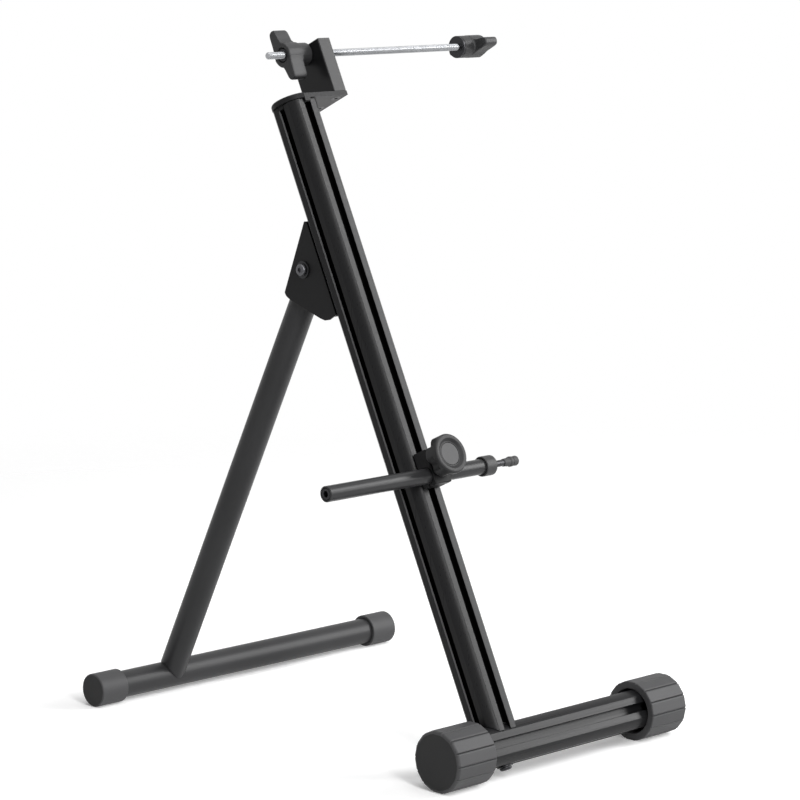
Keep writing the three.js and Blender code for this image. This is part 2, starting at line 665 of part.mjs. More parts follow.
// Ring of the knob with a scallop between each two lobes
function knobRing(radius, scallop, height) {
  const count = knob.lobes * 8;
  return Array.from({ length: count }, (unused, i) => {
    const angle = (i * turnRound) / count;
    const reach = radius - (scallop * (1 - Math.cos(angle * knob.lobes))) / half;
    return new THREE.Vector3(reach * Math.cos(angle), reach * Math.sin(angle), height);
  });
}

// Knob with its boss at the bottom: scalloped sides, a round front flange and a dished face for the disc
function knobGeometry() {
  const [radius, boss] = [knob.diameter / half, knob.boss / half];
  const { edge, lobe, bossLength, dish } = knob;
  const top = bossLength + knob.thickness;
  const body = lofted([
    knobRing(boss, 0, 0),
    knobRing(boss, 0, bossLength),
    knobRing(radius - edge, lobe, bossLength),
    knobRing(radius, lobe, bossLength + edge),
    knobRing(radius, lobe, top - knob.flange - edge),
    knobRing(radius, lobe * 0.15, top - knob.flange),
    knobRing(radius, 0, top - edge),
    knobRing(radius - edge * 0.3, 0, top - edge * 0.3),
    knobRing(radius - edge, 0, top),
  ]);
  const [seat, floor] = [disc.diameter / half + fit.gap, top - dish - disc.thickness - fit.gap];
  const cone = [[seat, floor], [seat, top - dish], [knob.dishDiameter / half, top]];
  const face = turned([[0, floor], ...cone, [knob.dishDiameter / half, top + edge], [0, top + edge]]);
  const socket = rod(stud.diameter / half + fit.gap, -fit.overrun, stud.intoKnob + fit.gap, sides.small);
  return cut(body, face, socket).rotateZ(knob.turn);
}

// Clamp assembly in a frame whose X and Y lie on the post's front flat and whose Z points forwards
function addGaugeClamp(group) {
  const clampFront = flatDistance + fit.gap + clamp.depth;
  const knobBack = clampFront + fit.gap;
  const discFront = knobBack + knob.bossLength + knob.thickness - knob.dish;
  const nutFloor = flatDistance - profile.depth + fit.gap;
  addPiece(group, 'gauge_clamp_block', clampGeometry(), 'anodised');
  addPiece(group, 'gauge_slot_nut', slotNutGeometry().rotateX(quarter), 'zinc');
  addPiece(group, 'clamp_knob', knobGeometry().translate(0, 0, knobBack), 'nylon');
  const studEnd = knobBack + stud.intoKnob;
  addPiece(group, 'clamp_stud', chamferedRod(stud.diameter / half, nutFloor, studEnd, fit.gap), 'zinc');
  const discBack = discFront - disc.thickness;
  const inlay = chamferedRod(disc.diameter / half, discBack, discFront, fit.gap, sides.round);
  addPiece(group, 'knob_disc', inlay, 'rubber');
}

function gaugePlugGeometry() {
  const radius = gauge.diameter / half - gauge.wall - fit.gap;
  const socket = hexPrism(gaugePlug.hex, -fit.overrun, gaugePlug.hexDepth);
  return cut(rod(radius, 0, gaugePlug.length, sides.small), socket);
}

function collarGeometry() {
  const radius = collar.diameter / half;
  const [bore, hole] = [gauge.diameter, pin.diameter].map((diameter) => diameter / half + fit.gap);
  const { length, floor, edge } = collar;
  return turned([
    [bore, 0],
    [radius, 0],
    [radius, length - edge],
    [radius - edge, length],
    [hole, length],
    [hole, length - floor],
    [bore, length - floor],
    [bore, 0],
  ]);
}

function tipGeometry() {
  const [radius, bore] = [tip.diameter / half, pin.diameter / half + fit.gap];
  const { length, socket, edge } = tip;
  return turned([
    [bore, 0],
    [radius - edge / half, 0],
    [radius, edge / half],
    [radius, length - edge],
    [radius - edge * 0.3, length - edge * 0.3],
    [radius - edge, length],
    [0, length],
    [0, socket],
    [bore, socket],
    [bore, 0],
  ], sides.small);
}

// Gauge rod: a tube with a hexagon plug in its left end, and a pin with a soft tip held by a collar
function addGaugeRod(group) {
  const place = (geometry, x) => alongX(geometry).translate(x, -gaugeDrop, gaugeForward);
  const radius = gauge.diameter / half;
  const wall = ring(radius, radius - gauge.wall, -gauge.leftReach, gauge.rightReach);
  addPiece(group, 'gauge_tube', place(wall, 0), 'anodised');
  addPiece(group, 'gauge_end_plug', place(gaugePlugGeometry(), -gauge.leftReach), 'blackOxide');
  const collarStart = gauge.rightReach + fit.gap + collar.floor - collar.length;
  addPiece(group, 'gauge_collar', place(collarGeometry(), collarStart), 'nylon');
  const pinEnd = gauge.rightReach + pin.outside;
  const needle = chamferedRod(pin.diameter / half, gauge.rightReach - pin.inside, pinEnd, fit.gap);
  addPiece(group, 'gauge_pin', place(needle, 0), 'blackOxide');
  addPiece(group, 'gauge_tip', place(tipGeometry(), pinEnd + fit.gap - tip.socket), 'rubber');
}

function buildGauge() {
  const group = new THREE.Group();
  addGaugeClamp(group);
  addGaugeRod(group);
  group.position.z = clamp.along;
  group.rotation.x = quarter;
  return group;
}

function buildPost() {
  const group = new THREE.Group();
  addPiece(group, 'upright_post', postGeometry(), 'anodised');
  addFootBolt(group);
  addHead(group);
  addAxle(group);
  addBracket(group);
  group.add(buildGauge());
  group.position.z = frontCapRadius;
  group.rotation.x = -post.lean;
  return group;
}

function buildStand() {
  const stand = new THREE.Group();
  stand.add(buildFrontFoot(), buildPost(), buildLeg());
  const [left, right] = [-gauge.leftReach, rearFoot.length - rearFoot.leftReach];
  const [front, rear] = [-frontCapReach, rearFootY + rearCapRadius];
  stand.position.set(-(left + right) / half, -(front + rear) / half, 0);
  return stand;
}

const group = buildStand();
export default group;
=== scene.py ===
import json
import math

import bmesh
import bpy
import numpy as np
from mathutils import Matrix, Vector
from mathutils.geometry import tessellate_polygon

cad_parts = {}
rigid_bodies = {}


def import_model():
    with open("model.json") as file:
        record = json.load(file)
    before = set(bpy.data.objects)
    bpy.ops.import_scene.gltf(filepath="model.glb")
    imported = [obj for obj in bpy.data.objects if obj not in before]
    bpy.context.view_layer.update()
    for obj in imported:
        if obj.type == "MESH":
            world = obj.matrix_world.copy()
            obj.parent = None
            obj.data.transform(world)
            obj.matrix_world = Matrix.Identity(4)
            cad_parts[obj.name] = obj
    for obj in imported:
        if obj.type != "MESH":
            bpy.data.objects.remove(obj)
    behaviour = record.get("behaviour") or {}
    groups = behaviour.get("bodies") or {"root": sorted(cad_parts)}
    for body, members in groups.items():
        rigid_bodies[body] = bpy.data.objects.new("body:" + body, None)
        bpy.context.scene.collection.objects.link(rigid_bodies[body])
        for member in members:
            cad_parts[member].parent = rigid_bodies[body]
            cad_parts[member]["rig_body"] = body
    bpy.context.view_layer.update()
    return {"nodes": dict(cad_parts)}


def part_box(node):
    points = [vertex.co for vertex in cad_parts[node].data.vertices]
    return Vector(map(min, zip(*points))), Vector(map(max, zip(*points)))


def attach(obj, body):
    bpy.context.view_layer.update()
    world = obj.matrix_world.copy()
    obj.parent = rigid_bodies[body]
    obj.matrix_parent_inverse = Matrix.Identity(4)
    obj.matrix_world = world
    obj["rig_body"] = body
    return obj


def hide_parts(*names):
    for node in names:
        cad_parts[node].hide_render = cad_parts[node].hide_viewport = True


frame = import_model()
nodes = frame["nodes"]
print("stage 1: frame loaded,", len(nodes), "nodes")

# Sizes are in millimetres, and the studio's in metres
mm = 0.001
turn = 2 * math.pi
sides = (("left", -1), ("right", 1))
smallRound, largeRound = 48, 64  # steps round small and large turned pieces
hardAngle = 32  # degrees: edges that bend more stay hard


def boxMm(node):
    # lowest and highest corner of a node's box
    low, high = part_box(node)
    return np.array(low) / mm, np.array(high) / mm


def middle(node):
    # middle of a node's box
    low, high = boxMm(node)
    return (low + high) / 2


# The post leans back from the front foot's axis and the leg leans forward from the rear foot's axis
lean = {"post": math.radians(25.3), "leg": math.radians(26.78)}
footCentre = middle("front_foot_cap_left")
rearCentre = middle("rear_foot_cap_left")
pivotCentre = middle("hinge_bolt")
axleCentre = middle("axle_rod")
gaugeCentre = middle("gauge_tube")
postMiddle = middle("upright_post")[0]
postFrame = {"origin": (postMiddle, footCentre[1], footCentre[2]), "angle": -lean["post"]}
legFrame = {"origin": (postMiddle, pivotCentre[1], pivotCentre[2]), "angle": lean["leg"]}
footFrame = {"origin": (postMiddle, footCentre[1], footCentre[2]), "angle": 0}
rearFrame = {"origin": (postMiddle, rearCentre[1], rearCentre[2]), "angle": 0}
pivotFrame = {"origin": (0, pivotCentre[1], pivotCentre[2]), "angle": -lean["post"]}
axleFrame = {"origin": (0, axleCentre[1], axleCentre[2]), "angle": -lean["post"]}
gaugeFrame = {"origin": (0, gaugeCentre[1], gaugeCentre[2]), "angle": 0}


def place(points, where):
    # turned about X by the frame's angle, then moved to its origin
    x, y, z = points[..., 0], points[..., 1], points[..., 2]
    c, s = math.cos(where["angle"]), math.sin(where["angle"])
    return np.stack([x, y * c - z * s, y * s + z * c], -1) + np.array(where["origin"])


def alongX(points):
    # the Z axis laid along X
    return np.stack([points[..., 2], points[..., 1], -points[..., 0]], -1)


def alongY(points):
    # the Z axis laid along Y, X kept
    return np.stack([points[..., 0], points[..., 2], -points[..., 1]], -1)


def upsideDown(points):
    # half a turn about X
    return points * np.array([1, -1, -1])


def onPost(points):
    # Z runs up the post from the front foot's axis
    return place(points, postFrame)


def onPivot(points):
    # Z runs to the right along the leg's pivot
    return place(alongX(points), pivotFrame)


def onAxle(points):
    # Z runs to the right along the axle rod
    return place(alongX(points), axleFrame)


def onGauge(points):
    # Z runs to the right along the gauge tube
    return place(alongX(points), gaugeFrame)


def gridFaces(rowCount, count, loop):
    # quads between each row and the next, closed round the row; loop joins the last row to the first
    row, column = np.meshgrid(np.arange(rowCount if loop else rowCount - 1), np.arange(count), indexing="ij")
    after, beside = (row + 1) % rowCount, (column + 1) % count
    quads = [row * count + column, row * count + beside, after * count + beside, after * count + column]
    return np.stack(quads, -1).reshape(-1, 4)


def polar(rows, count):
    # point = (r cos a, r sin a, h) for each row (r, h); r is one number or one for each angle a
    angle = np.arange(count) * turn / count
    radius = np.array([np.broadcast_to(r, count) for r, h in rows])
    height = np.array([np.broadcast_to(h, count) for r, h in rows])
    return np.stack([radius * np.cos(angle), radius * np.sin(angle), height], -1)


def quarterTurn(steps):
    # even angles from 0 to a quarter turn
    return np.linspace(0, math.pi / 2, steps + 1)


def lowerRound(radius, low, edge, steps):
    # quarter round at a lower rim: (radius - edge (1 - sin a), low + edge (1 - cos a))
    return [(radius - edge * (1 - math.sin(a)), low + edge * (1 - math.cos(a))) for a in quarterTurn(steps)]


def upperRound(radius, high, edge, steps):
    # quarter round at an upper rim: (radius - edge (1 - cos a), high - edge (1 - sin a))
    return [(radius - edge * (1 - math.cos(a)), high - edge * (1 - math.sin(a))) for a in quarterTurn(steps)]


def pegRows(radius, low, high, edge):
    # solid round bar with a chamfer at both ends
    return [(0, low), (radius - edge, low), (radius, low + edge),
            (radius, high - edge), (radius - edge, high), (0, high)]


def tubeRows(radius, bore, low, high, edge, lowEdge=None):
    # round tube with its rims chamfered inside and outside; lowEdge is the outer chamfer at the low end
    first = edge if lowEdge is None else lowEdge
    return [(bore, low + edge), (bore + edge, low), (radius - first, low), (radius, low + first),
            (radius, high - edge), (radius - edge, high), (bore + edge, high), (bore, high - edge)]


def washerRows(outer, paintedSlotMarks, low, high, edge=0.15):
    # flat ring with its outer rims chamfered
    return [(paintedSlotMarks, low), (outer - edge, low), (outer, low + edge),
            (outer, high - edge), (outer - edge, high), (paintedSlotMarks, high)]


def filleted(points, radius, steps, mostOfSide=0.45):
    # each corner becomes a quadratic arc that starts and ends one radius from it, or nearer on a short side:
    # (1 - t)^2 start + 2 t (1 - t) corner + t^2 end
    points = np.asarray(points, float)
    before, after = np.roll(points, 1, 0) - points, np.roll(points, -1, 0) - points
    lengthBefore, lengthAfter = np.linalg.norm(before, axis=1), np.linalg.norm(after, axis=1)
    longest = np.minimum(lengthBefore, lengthAfter) * mostOfSide
    reach = np.minimum(np.broadcast_to(radius, len(points)), longest)
    start = points + before / lengthBefore[:, None] * reach[:, None]
    end = points + after / lengthAfter[:, None] * reach[:, None]
    t = np.linspace(0, 1, steps + 1)[None, :, None]
    arc = (1 - t) ** 2 * start[:, None] + 2 * t * (1 - t) * points[:, None] + t ** 2 * end[:, None]
    return arc.reshape(-1, 2)


def circle(radius, count, clockwise=False):
    # point = (r cos a, r sin a)
    angle = np.arange(count) * turn / count * (-1 if clockwise else 1)
    return np.stack([radius * np.cos(angle), radius * np.sin(angle)], -1)


def inset(loop, amount):
    # every point moves to the left of the outline's direction, so that each side shifts by the amount
    side = np.roll(loop, -1, 0) - loop
    normal = np.stack([-side[:, 1], side[:, 0]], -1) / np.linalg.norm(side, axis=1)[:, None]
    other = np.roll(normal, 1, 0)
    share = 1 + np.sum(normal * other, axis=1)
    return loop + (normal + other) / share[:, None] * amount


def prism(loops, low, high, edge, steps):
    # outlines carried from low to high, with a quarter round at both rims;
    # the first outline is the outside and the others are holes
    a = quarterTurn(steps)
    insets = np.concatenate([edge * (1 - np.sin(a)), edge * (1 - np.cos(a))])
    heights = np.concatenate([low + edge * (1 - np.cos(a)), high - edge * (1 - np.sin(a))])
    points, faces, start, rims = [], [], 0, []
    for loop in loops:
        rows = np.stack([np.column_stack([inset(loop, amount), np.full(len(loop), height)])
                         for amount, height in zip(insets, heights)])
        points.append(rows.reshape(-1, 3))
        faces += (gridFaces(len(rows), len(loop), False) + start).tolist()
        rims.append((rows, start, (len(rows) - 1) * len(loop) + start))
        start += rows.size // 3
    for end, which in ((0, 1), (-1, 2)):
        outlines = [[Vector(p) for p in rim[0][end]] for rim in rims]
        number = np.concatenate([np.arange(len(rim[0][end])) + rim[which] for rim in rims])
        faces += [[int(number[i]) for i in corner] for corner in tessellate_polygon(outlines)]
    return np.concatenate(points), faces


def linear(code):
    # sRGB hex to linear light
    share = [int(code[i:i + 2], 16) / 255 for i in (1, 3, 5)]
    return tuple(v / 12.92 if v <= 0.04045 else ((v + 0.055) / 1.055) ** 2.4 for v in share) + (1.0,)


def addNode(tree, kind, settings=None, links=None):
    # one node with its own settings, socket values and links from other nodes
    node = tree.nodes.new(kind)
    for key, value in (settings or {}).items():
        if isinstance(key, str) and hasattr(node, key):
            setattr(node, key, value)
        else:
            node.inputs[key].default_value = value
    for key, source in (links or {}).items():
        tree.links.new(source, node.inputs[key])
    return node


def newMaterial(name):
    # an empty node tree to build in
    material = bpy.data.materials.new(name)
    material.use_nodes = True
    material.node_tree.nodes.clear()
    return material, material.node_tree


# What all finishes share: detail of the two noises, usual range of noise, refraction and the sheen's spread
grain = {"shadeDetail": 3.0, "fineDetail": 2.0, "low": 0.3, "high": 0.7, "ior": 1.5, "sheenRough": 0.3}


def grainedMaterial(name, slot, look):
    # base colour with slow shade changes, and a fine grain that moves both roughness and relief
    material, tree = newMaterial(name)
    where = addNode(tree, "ShaderNodeTexCoord")
    turned = addNode(tree, "ShaderNodeMapping", {"Rotation": look.get("turn", (0, 0, 0)),
                     "Scale": look.get("stretch", (1, 1, 1))}, {"Vector": where.outputs["Object"]})
    slow = addNode(tree, "ShaderNodeTexNoise", {"Scale": 1 / (look["shadeMm"] * mm),
                   "Detail": grain["shadeDetail"]}, {"Vector": where.outputs["Object"]})
    fine = addNode(tree, "ShaderNodeTexNoise", {"Scale": 1 / (look["grainMm"] * mm),
                   "Detail": grain["fineDetail"]}, {"Vector": turned.outputs["Vector"]})
    tone = addNode(tree, "ShaderNodeMix", {"data_type": "RGBA", 6: linear(look["dark"]),
                   7: linear(look["light"])}, {0: slow.outputs["Fac"]})
    rough = addNode(tree, "ShaderNodeMapRange", {"From Min": grain["low"], "From Max": grain["high"],
                    "To Min": look["rough"][0], "To Max": look["rough"][1]}, {"Value": fine.outputs["Fac"]})
    relief = addNode(tree, "ShaderNodeBump", {"Strength": look["relief"], "Distance": look["reliefMm"] * mm},
                     {"Height": fine.outputs["Fac"]})
    shader = addNode(tree, "ShaderNodeBsdfPrincipled", {"Metallic": look["metallic"], "IOR": grain["ior"],
                     "Specular IOR Level": look["specular"], "Sheen Weight": look.get("sheen", 0.0),
                     "Sheen Roughness": grain["sheenRough"]},
                     {"Base Color": tone.outputs[2], "Roughness": rough.outputs["Result"],
                      "Normal": relief.outputs["Normal"]})
    addNode(tree, "ShaderNodeOutputMaterial", {}, {"Surface": shader.outputs["BSDF"]})
    material["slot"] = slot
    return material


# Anodised aluminium extrusion: satin black, with faint lines from the die along its length.
# The lines are about 0.1 mm apart on the real bar and are drawn 0.8 mm apart so that they show.
anodisedLook = {"dark": "#141415", "light": "#1b1b1c", "shadeMm": 60, "grainMm": 0.8, "rough": (0.26, 0.36),
                "metallic": 0.0, "specular": 0.12, "relief": 0.05, "reliefMm": 0.05}
linesUp = {"stretch": (1, 1, 0.01), "turn": (lean["post"], 0, 0)}
linesAcross = {"stretch": (0.01, 1, 1)}
anodisedPost = grainedMaterial("satinAnodisedPost", "black_anodised", anodisedLook | linesUp)
anodisedBar = grainedMaterial("satinAnodisedCrossBar", "black_anodised", anodisedLook | linesAcross)
# The gauge's tube has a lighter base colour as painted light, so that it looks more lit, and a little more
# gloss, as a drawn tube's finer surface has
anodisedTubePaintedLight = grainedMaterial("satinAnodisedTubePaintedLight", "black_anodised", anodisedLook | linesAcross |
                               {"dark": "#262627", "light": "#2e2e2f", "specular": 0.16})
# Painted shade inside the slots: near black and dull; painted light on the mouth walls that face forwards:
# grey
slotPaintedShade = grainedMaterial("paintedShadeInSlot", "black_anodised", anodisedLook | linesUp |
                            {"dark": "#060606", "light": "#080808", "rough": (0.55, 0.65), "specular": 0.0})
mouthWallPaintedLight = grainedMaterial("paintedLightMouthWall", "black_anodised", anodisedLook | linesUp |
                            {"dark": "#525253", "light": "#5a5a5b", "rough": (0.4, 0.5)})
# The clamp block is blasted before it is anodised, so it is more matt and has no lines
blastedBlock = grainedMaterial("blastedAnodisedBlock", "black_anodised", anodisedLook |
                               {"rough": (0.42, 0.52), "specular": 0.1, "turn": (lean["post"], 0, 0)})
# Powder coat on steel: semi-matt, with orange peel of about 0.6 mm. It is flatter on the folded sheet and
# smoother on the dropout block.
coatLook = {"dark": "#282829", "light": "#303031", "shadeMm": 45, "grainMm": 0.6, "rough": (0.36, 0.44),
            "metallic": 0.0, "specular": 0.18, "relief": 0.15, "reliefMm": 0.04}
powderCoat = grainedMaterial("satinPowderCoatedTube", "black_powder_coat", coatLook)
flatCoat = grainedMaterial("mattPowderCoatedSheet", "black_powder_coat", coatLook |
                           {"dark": "#111112", "light": "#171718", "specular": 0.12, "sheen": 0.08})
blockCoat = grainedMaterial("satinPowderCoatedBlock", "black_powder_coat", coatLook |
                            {"dark": "#161617", "light": "#1c1c1d", "specular": 0.15, "rough": (0.28, 0.36)})
# Moulded rubber: dark grey and matt, with a dusty fine grain of about 0.5 mm
rubberLook = {"dark": "#353536", "light": "#3e3e3f", "shadeMm": 25, "grainMm": 0.5, "rough": (0.5, 0.6),
              "metallic": 0.0, "specular": 0.25, "relief": 0.25, "reliefMm": 0.05}
mouldedRubber = grainedMaterial("mouldedGreyRubber", "rubber", rubberLook)
# The caps' end faces are smoother, as from the polished side of the mould, and coloured darker as painted
# shade, for end faces turned away from the lamps
smoothRubberPaintedShade = grainedMaterial("smoothRubberEndFacePaintedShade", "rubber", rubberLook |
                               {"dark": "#222223", "light": "#292929", "rough": (0.45, 0.55),
                                "specular": 0.15, "relief": 0.1, "reliefMm": 0.03})
# Glass-filled nylon: spark-eroded mould texture of about 0.4 mm with a soft sheen; knob and cap are darker
nylonLook = {"dark": "#2b2b2c", "light": "#333334", "shadeMm": 18, "grainMm": 0.4, "rough": (0.42, 0.52),
             "metallic": 0.0, "specular": 0.25, "relief": 0.25, "reliefMm": 0.04}
glassNylon = grainedMaterial("mouldedGlassFilledNylon", "black_nylon", nylonLook)
knobNylon = grainedMaterial("mouldedKnobNylon", "black_nylon", nylonLook |
                            {"dark": "#1c1c1d", "light": "#232324", "specular": 0.2, "relief": 0.2})
darkNylon = grainedMaterial("blackNylonCap", "black_nylon", nylonLook |
                            {"dark": "#161617", "light": "#1c1c1d", "shadeMm": 12, "rough": (0.45, 0.55),
                             "specular": 0.12, "relief": 0.2, "reliefMm": 0.03})
# Black oxide on steel: oily dark grey metal, lighter on the pivot bolt where it is worn
oxideLook = {"dark": "#2b2b2d", "light": "#343436", "shadeMm": 6, "grainMm": 0.5, "rough": (0.32, 0.45),
             "metallic": 0.85, "specular": 0.5, "relief": 0.1, "reliefMm": 0.02}
blackOxide = grainedMaterial("blackOxideSteel", "black_steel", oxideLook)
wornOxide = grainedMaterial("wornBlackOxideSteel", "black_steel", oxideLook |
                            {"dark": "#4c4c4f", "light": "#58585b", "rough": (0.3, 0.4)})
# Zinc plate on steel: bright cool grey metal
zincPlate = grainedMaterial("zincPlatedSteel", "zinc_steel", oxideLook |
                            {"dark": "#8c8e91", "light": "#a5a6a8", "shadeMm": 8, "rough": (0.2, 0.32),
                             "metallic": 1.0})
print("stage 2: materials made")


# Joining and shading: points nearer than weld become one, faces of a node that bend less than flat degrees
# merge, and large faces rule the normals by faceWeight
finish = {"weld": 0.002, "flat": 0.5, "bevelSteps": 3, "faceWeight": 80, "seatReach": 0.1, "seatGap": 0.28}


def addPiece(name, points, faces, material, stands, smooth=hardAngle, others=(), marks=()):
    # a mesh in metres that rides where the node it stands for rides;
    # marks number each face's material, 0 for the first and from 1 for the others
    mesh = bpy.data.meshes.new(name)
    flat = np.asarray(points, float).reshape(-1, 3) * mm
    mesh.from_pydata(flat.tolist(), [], faces if isinstance(faces, list) else faces.tolist())
    if others:
        mesh.polygons.foreach_set("material_index", np.asarray(marks, np.int32))
    piece = finishPiece(name, mesh, material, stands, smooth)
    for other in others:
        mesh.materials.append(other)
    return piece


def finishPiece(name, mesh, material, stands, smooth, bevel=0.0, flat=0.0):
    # welded, turned outwards and smooth up to the hard angle, with softened edges and even flat faces
    work = bmesh.new()
    work.from_mesh(mesh)
    bmesh.ops.remove_doubles(work, verts=work.verts, dist=finish["weld"] * mm)
    if flat:
        bmesh.ops.dissolve_limit(work, angle_limit=math.radians(flat), verts=work.verts, edges=work.edges)
    bmesh.ops.recalc_face_normals(work, faces=work.faces)
    work.to_mesh(mesh)
    work.free()
    mesh.polygons.foreach_set("use_smooth", np.ones(len(mesh.polygons), bool))
    mesh.set_sharp_from_angle(angle=math.radians(smooth))
    if mesh.materials:
        mesh.materials.clear()  # this also sets every face back to the first material
    mesh.materials.append(material)
    piece = bpy.data.objects.new(name, mesh)
    bpy.context.scene.collection.objects.link(piece)
    if bevel:
        soft = piece.modifiers.new("softEdges", "BEVEL")
        soft.width, soft.segments = bevel * mm, finish["bevelSteps"]
        soft.limit_method, soft.angle_limit = "ANGLE", math.radians(smooth)
    even = piece.modifiers.new("flatFacesStayEven", "WEIGHTED_NORMAL")
    even.keep_sharp, even.weight = True, finish["faceWeight"]
    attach(piece, nodes[stands]["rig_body"])
    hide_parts(stands)
    return piece


def turnedPiece(name, rows, count, material, stands, put, loop=False, smooth=hardAngle, lid=None, lidRows=0):
    # rows turned about Z and then put in place; the faces of the last rows can have the lid's material
    points, faces = put(polar(rows, count)), gridFaces(len(rows), count, loop)
    marks = np.arange(len(faces)) >= len(faces) - lidRows * count
    return addPiece(name, points, faces, material, stands, smooth, (lid,) if lid else (), marks)


def softened(name, material, stands, bevel, seat):
    # the node's own flat faces, welded, with every hard edge rounded; seat 1 or -1 moves the highest or
    # lowest points on along the post by the gap, so that no light shows through where the piece is seated
    mesh = nodes[stands].data.copy()
    if seat:
        axis = np.array([0, math.sin(lean["post"]), math.cos(lean["post"])]) * seat
        flat = np.empty(len(mesh.vertices) * 3)
        mesh.vertices.foreach_get("co", flat)
        points = flat.reshape(-1, 3)
        height = points @ axis
        ends = height > height.max() - finish["seatReach"] * mm
        points += ends[:, None] * axis * finish["seatGap"] * mm
        mesh.vertices.foreach_set("co", points.ravel())
    return finishPiece(name, mesh, material, stands, hardAngle, bevel, finish["flat"])


# Extruded profile with four T-slots, shared by the post and the front foot
profile = {"diameter": 30, "across": 26, "bore": 5.6, "mouth": 5.6, "cavity": 9.4, "lip": 1.8, "depth": 5.4,
           "slope": 1.5, "mouthEdge": 0.35, "slotEdge": 0.15, "cornerEdge": 0.5, "leastEdge": 0.001,
           "arcSteps": 20, "edgeSteps": 3, "boreSteps": 24, "rim": 0.25, "rimSteps": 3, "smooth": 25}


def profileLoops():
    # four round corners joined by flats, each flat with a slot;
    # one quarter is worked out and repeated at every quarter turn
    radius, flat = profile["diameter"] / 2, profile["across"] / 2
    mouth, cavity = profile["mouth"] / 2, profile["cavity"] / 2
    under, floor, slope = flat - profile["lip"], flat - profile["depth"], profile["slope"]
    right = [[mouth, flat], [mouth, under], [cavity, under],
             [cavity, floor + slope], [cavity - slope, floor]]
    slot = np.array(right + [[-x, y] for x, y in right[::-1]])
    corner = math.acos(flat / radius)
    angle = np.linspace(math.pi / 2 + corner, math.pi - corner, profile["arcSteps"] + 1)
    arc = np.stack([radius * np.cos(angle), radius * np.sin(angle)], -1)
    outline = np.concatenate([slot, arc])
    reach = np.zeros(len(outline))
    reach[:len(slot)] = profile["slotEdge"]
    reach[0] = reach[len(slot) - 1] = profile["mouthEdge"]
    reach[len(slot)] = reach[-1] = profile["cornerEdge"]
    quarters = []
    for i in range(4):
        c, s = round(math.cos(i * turn / 4)), round(math.sin(i * turn / 4))
        quarters.append(outline @ np.array([[c, s], [-s, c]]))
    whole, reach, steps = np.concatenate(quarters), np.tile(reach, 4), profile["edgeSteps"]
    soft = filleted(whole, np.maximum(reach, profile["leastEdge"]), steps).reshape(-1, steps + 1, 2)
    # a corner that isn't rounded keeps one of its arc's points
    keep = np.where(reach[:, None] > 0, True, np.arange(steps + 1)[None, :] == 1)
    return [soft[keep], circle(profile["bore"] / 2, profile["boreSteps"], True)]


# Which slot faces get painted shade or painted light: told by their distance from the axis, the flat, the
# lip and the mouth, and by their least length; on the foot bar only the faces down to floorDepth below the
# lip get painted shade
paintedSlotBounds = {"reach": 14.2, "belowFlat": 0.2, "pastLip": 0.3, "besideMouth": 0.2, "least": 1,
              "floorDepth": 0.5}


def slotFaces(points, faces):
    # 1 for a face along the bar that lies inside the slots, which gets painted shade,
    # 2 for the side slots' mouth walls that face forwards, which get painted light
    flat, mouth = profile["across"] / 2, profile["mouth"] / 2
    marks, under = [], flat - profile["lip"]
    for face in faces:
        x, y = points[face].mean(0)[:2]
        below = max(abs(x), abs(y)) < flat - paintedSlotBounds["belowFlat"]
        inside = below and math.hypot(x, y) < paintedSlotBounds["reach"]
        wall = abs(x) > under + paintedSlotBounds["pastLip"] and 0 < y < mouth + paintedSlotBounds["besideMouth"]
        along = np.ptp(points[face][:, 2]) > paintedSlotBounds["least"]
        marks.append((2 if wall else 1) if inside and along else 0)
    return marks


post = {"length": 450, "gap": 0.3, "foot": 1}
points, faces = prism(profileLoops(), 0, post["length"], profile["rim"], profile["rimSteps"])
# slot faces get painted shade, and the forward-facing mouth walls of the side slots get painted light
paintedSlotMarks = slotFaces(points, faces)
# The post's foot follows the bar below it: its round corners up to its flat, with a small gap
saddleRadius, saddleFlat = profile["diameter"] / 2 + post["gap"], profile["across"] / 2 + post["gap"]
rise = np.minimum(saddleFlat, np.sqrt(np.maximum(saddleRadius ** 2 - points[:, 1] ** 2, 0)))
points[:, 2] = np.where(points[:, 2] < post["foot"], points[:, 2] + rise, points[:, 2])
addPiece("postExtrusion", onPost(points), faces, anodisedPost, "upright_post", profile["smooth"],
         (slotPaintedShade, mouthWallPaintedLight), paintedSlotMarks)

low, high = boxMm("front_foot_bar")
points, faces = prism(profileLoops(), low[0] - postMiddle, high[0] - postMiddle, profile["rim"],
                      profile["rimSteps"])
# on the foot bar only the slot faces near the mouth get painted shade; the slot floor keeps the bar's look
floor = profile["across"] / 2 - profile["lip"] - paintedSlotBounds["floorDepth"]
paintedSlotMarks = [int(mark > 0 and max(abs(points[face].mean(0)[:2])) > floor)
         for mark, face in zip(slotFaces(points, faces), faces)]
# the bar lies along X and its flats are square to the post
points = np.stack([points[:, 2], points[:, 0], points[:, 1]], -1)
addPiece("frontFootExtrusion", onPost(points), faces, anodisedBar, "front_foot_bar", profile["smooth"],
         (slotPaintedShade,), paintedSlotMarks)

# Ribbed rubber cap: flat lands parted by narrow grooves, rounded towards its closed end
frontCap = {"radius": 20.2, "bore": 15.3, "boreEdge": 0.4, "length": 35, "floor": 4, "lobes": 14,
            "landShare": 0.84, "groove": 0.7, "mouthGrooveShare": 0.3, "mouthEdge": 0.9, "mouthSteps": 5,
            "endEdge": 2.0, "endSteps": 9, "lidEdge": 1.5, "perLobe": 18, "smooth": 40}


def ribbed(radius, depth):
    # a regular polygon's flats; between them the radius dips by the groove's depth on a cosine
    pitch = turn / frontCap["lobes"]
    count = frontCap["lobes"] * frontCap["perLobe"]
    angle = np.arange(count) * turn / count
    off = np.abs((angle + pitch / 2) % pitch - pitch / 2)
    side = pitch * frontCap["landShare"] / 2
    land = radius / np.cos(np.minimum(off, side))
    share = np.clip((off - side) / (pitch / 2 - side), 0, 1)
    return land - (1 - np.cos(math.pi * share)) / 2 * (depth + land - radius)


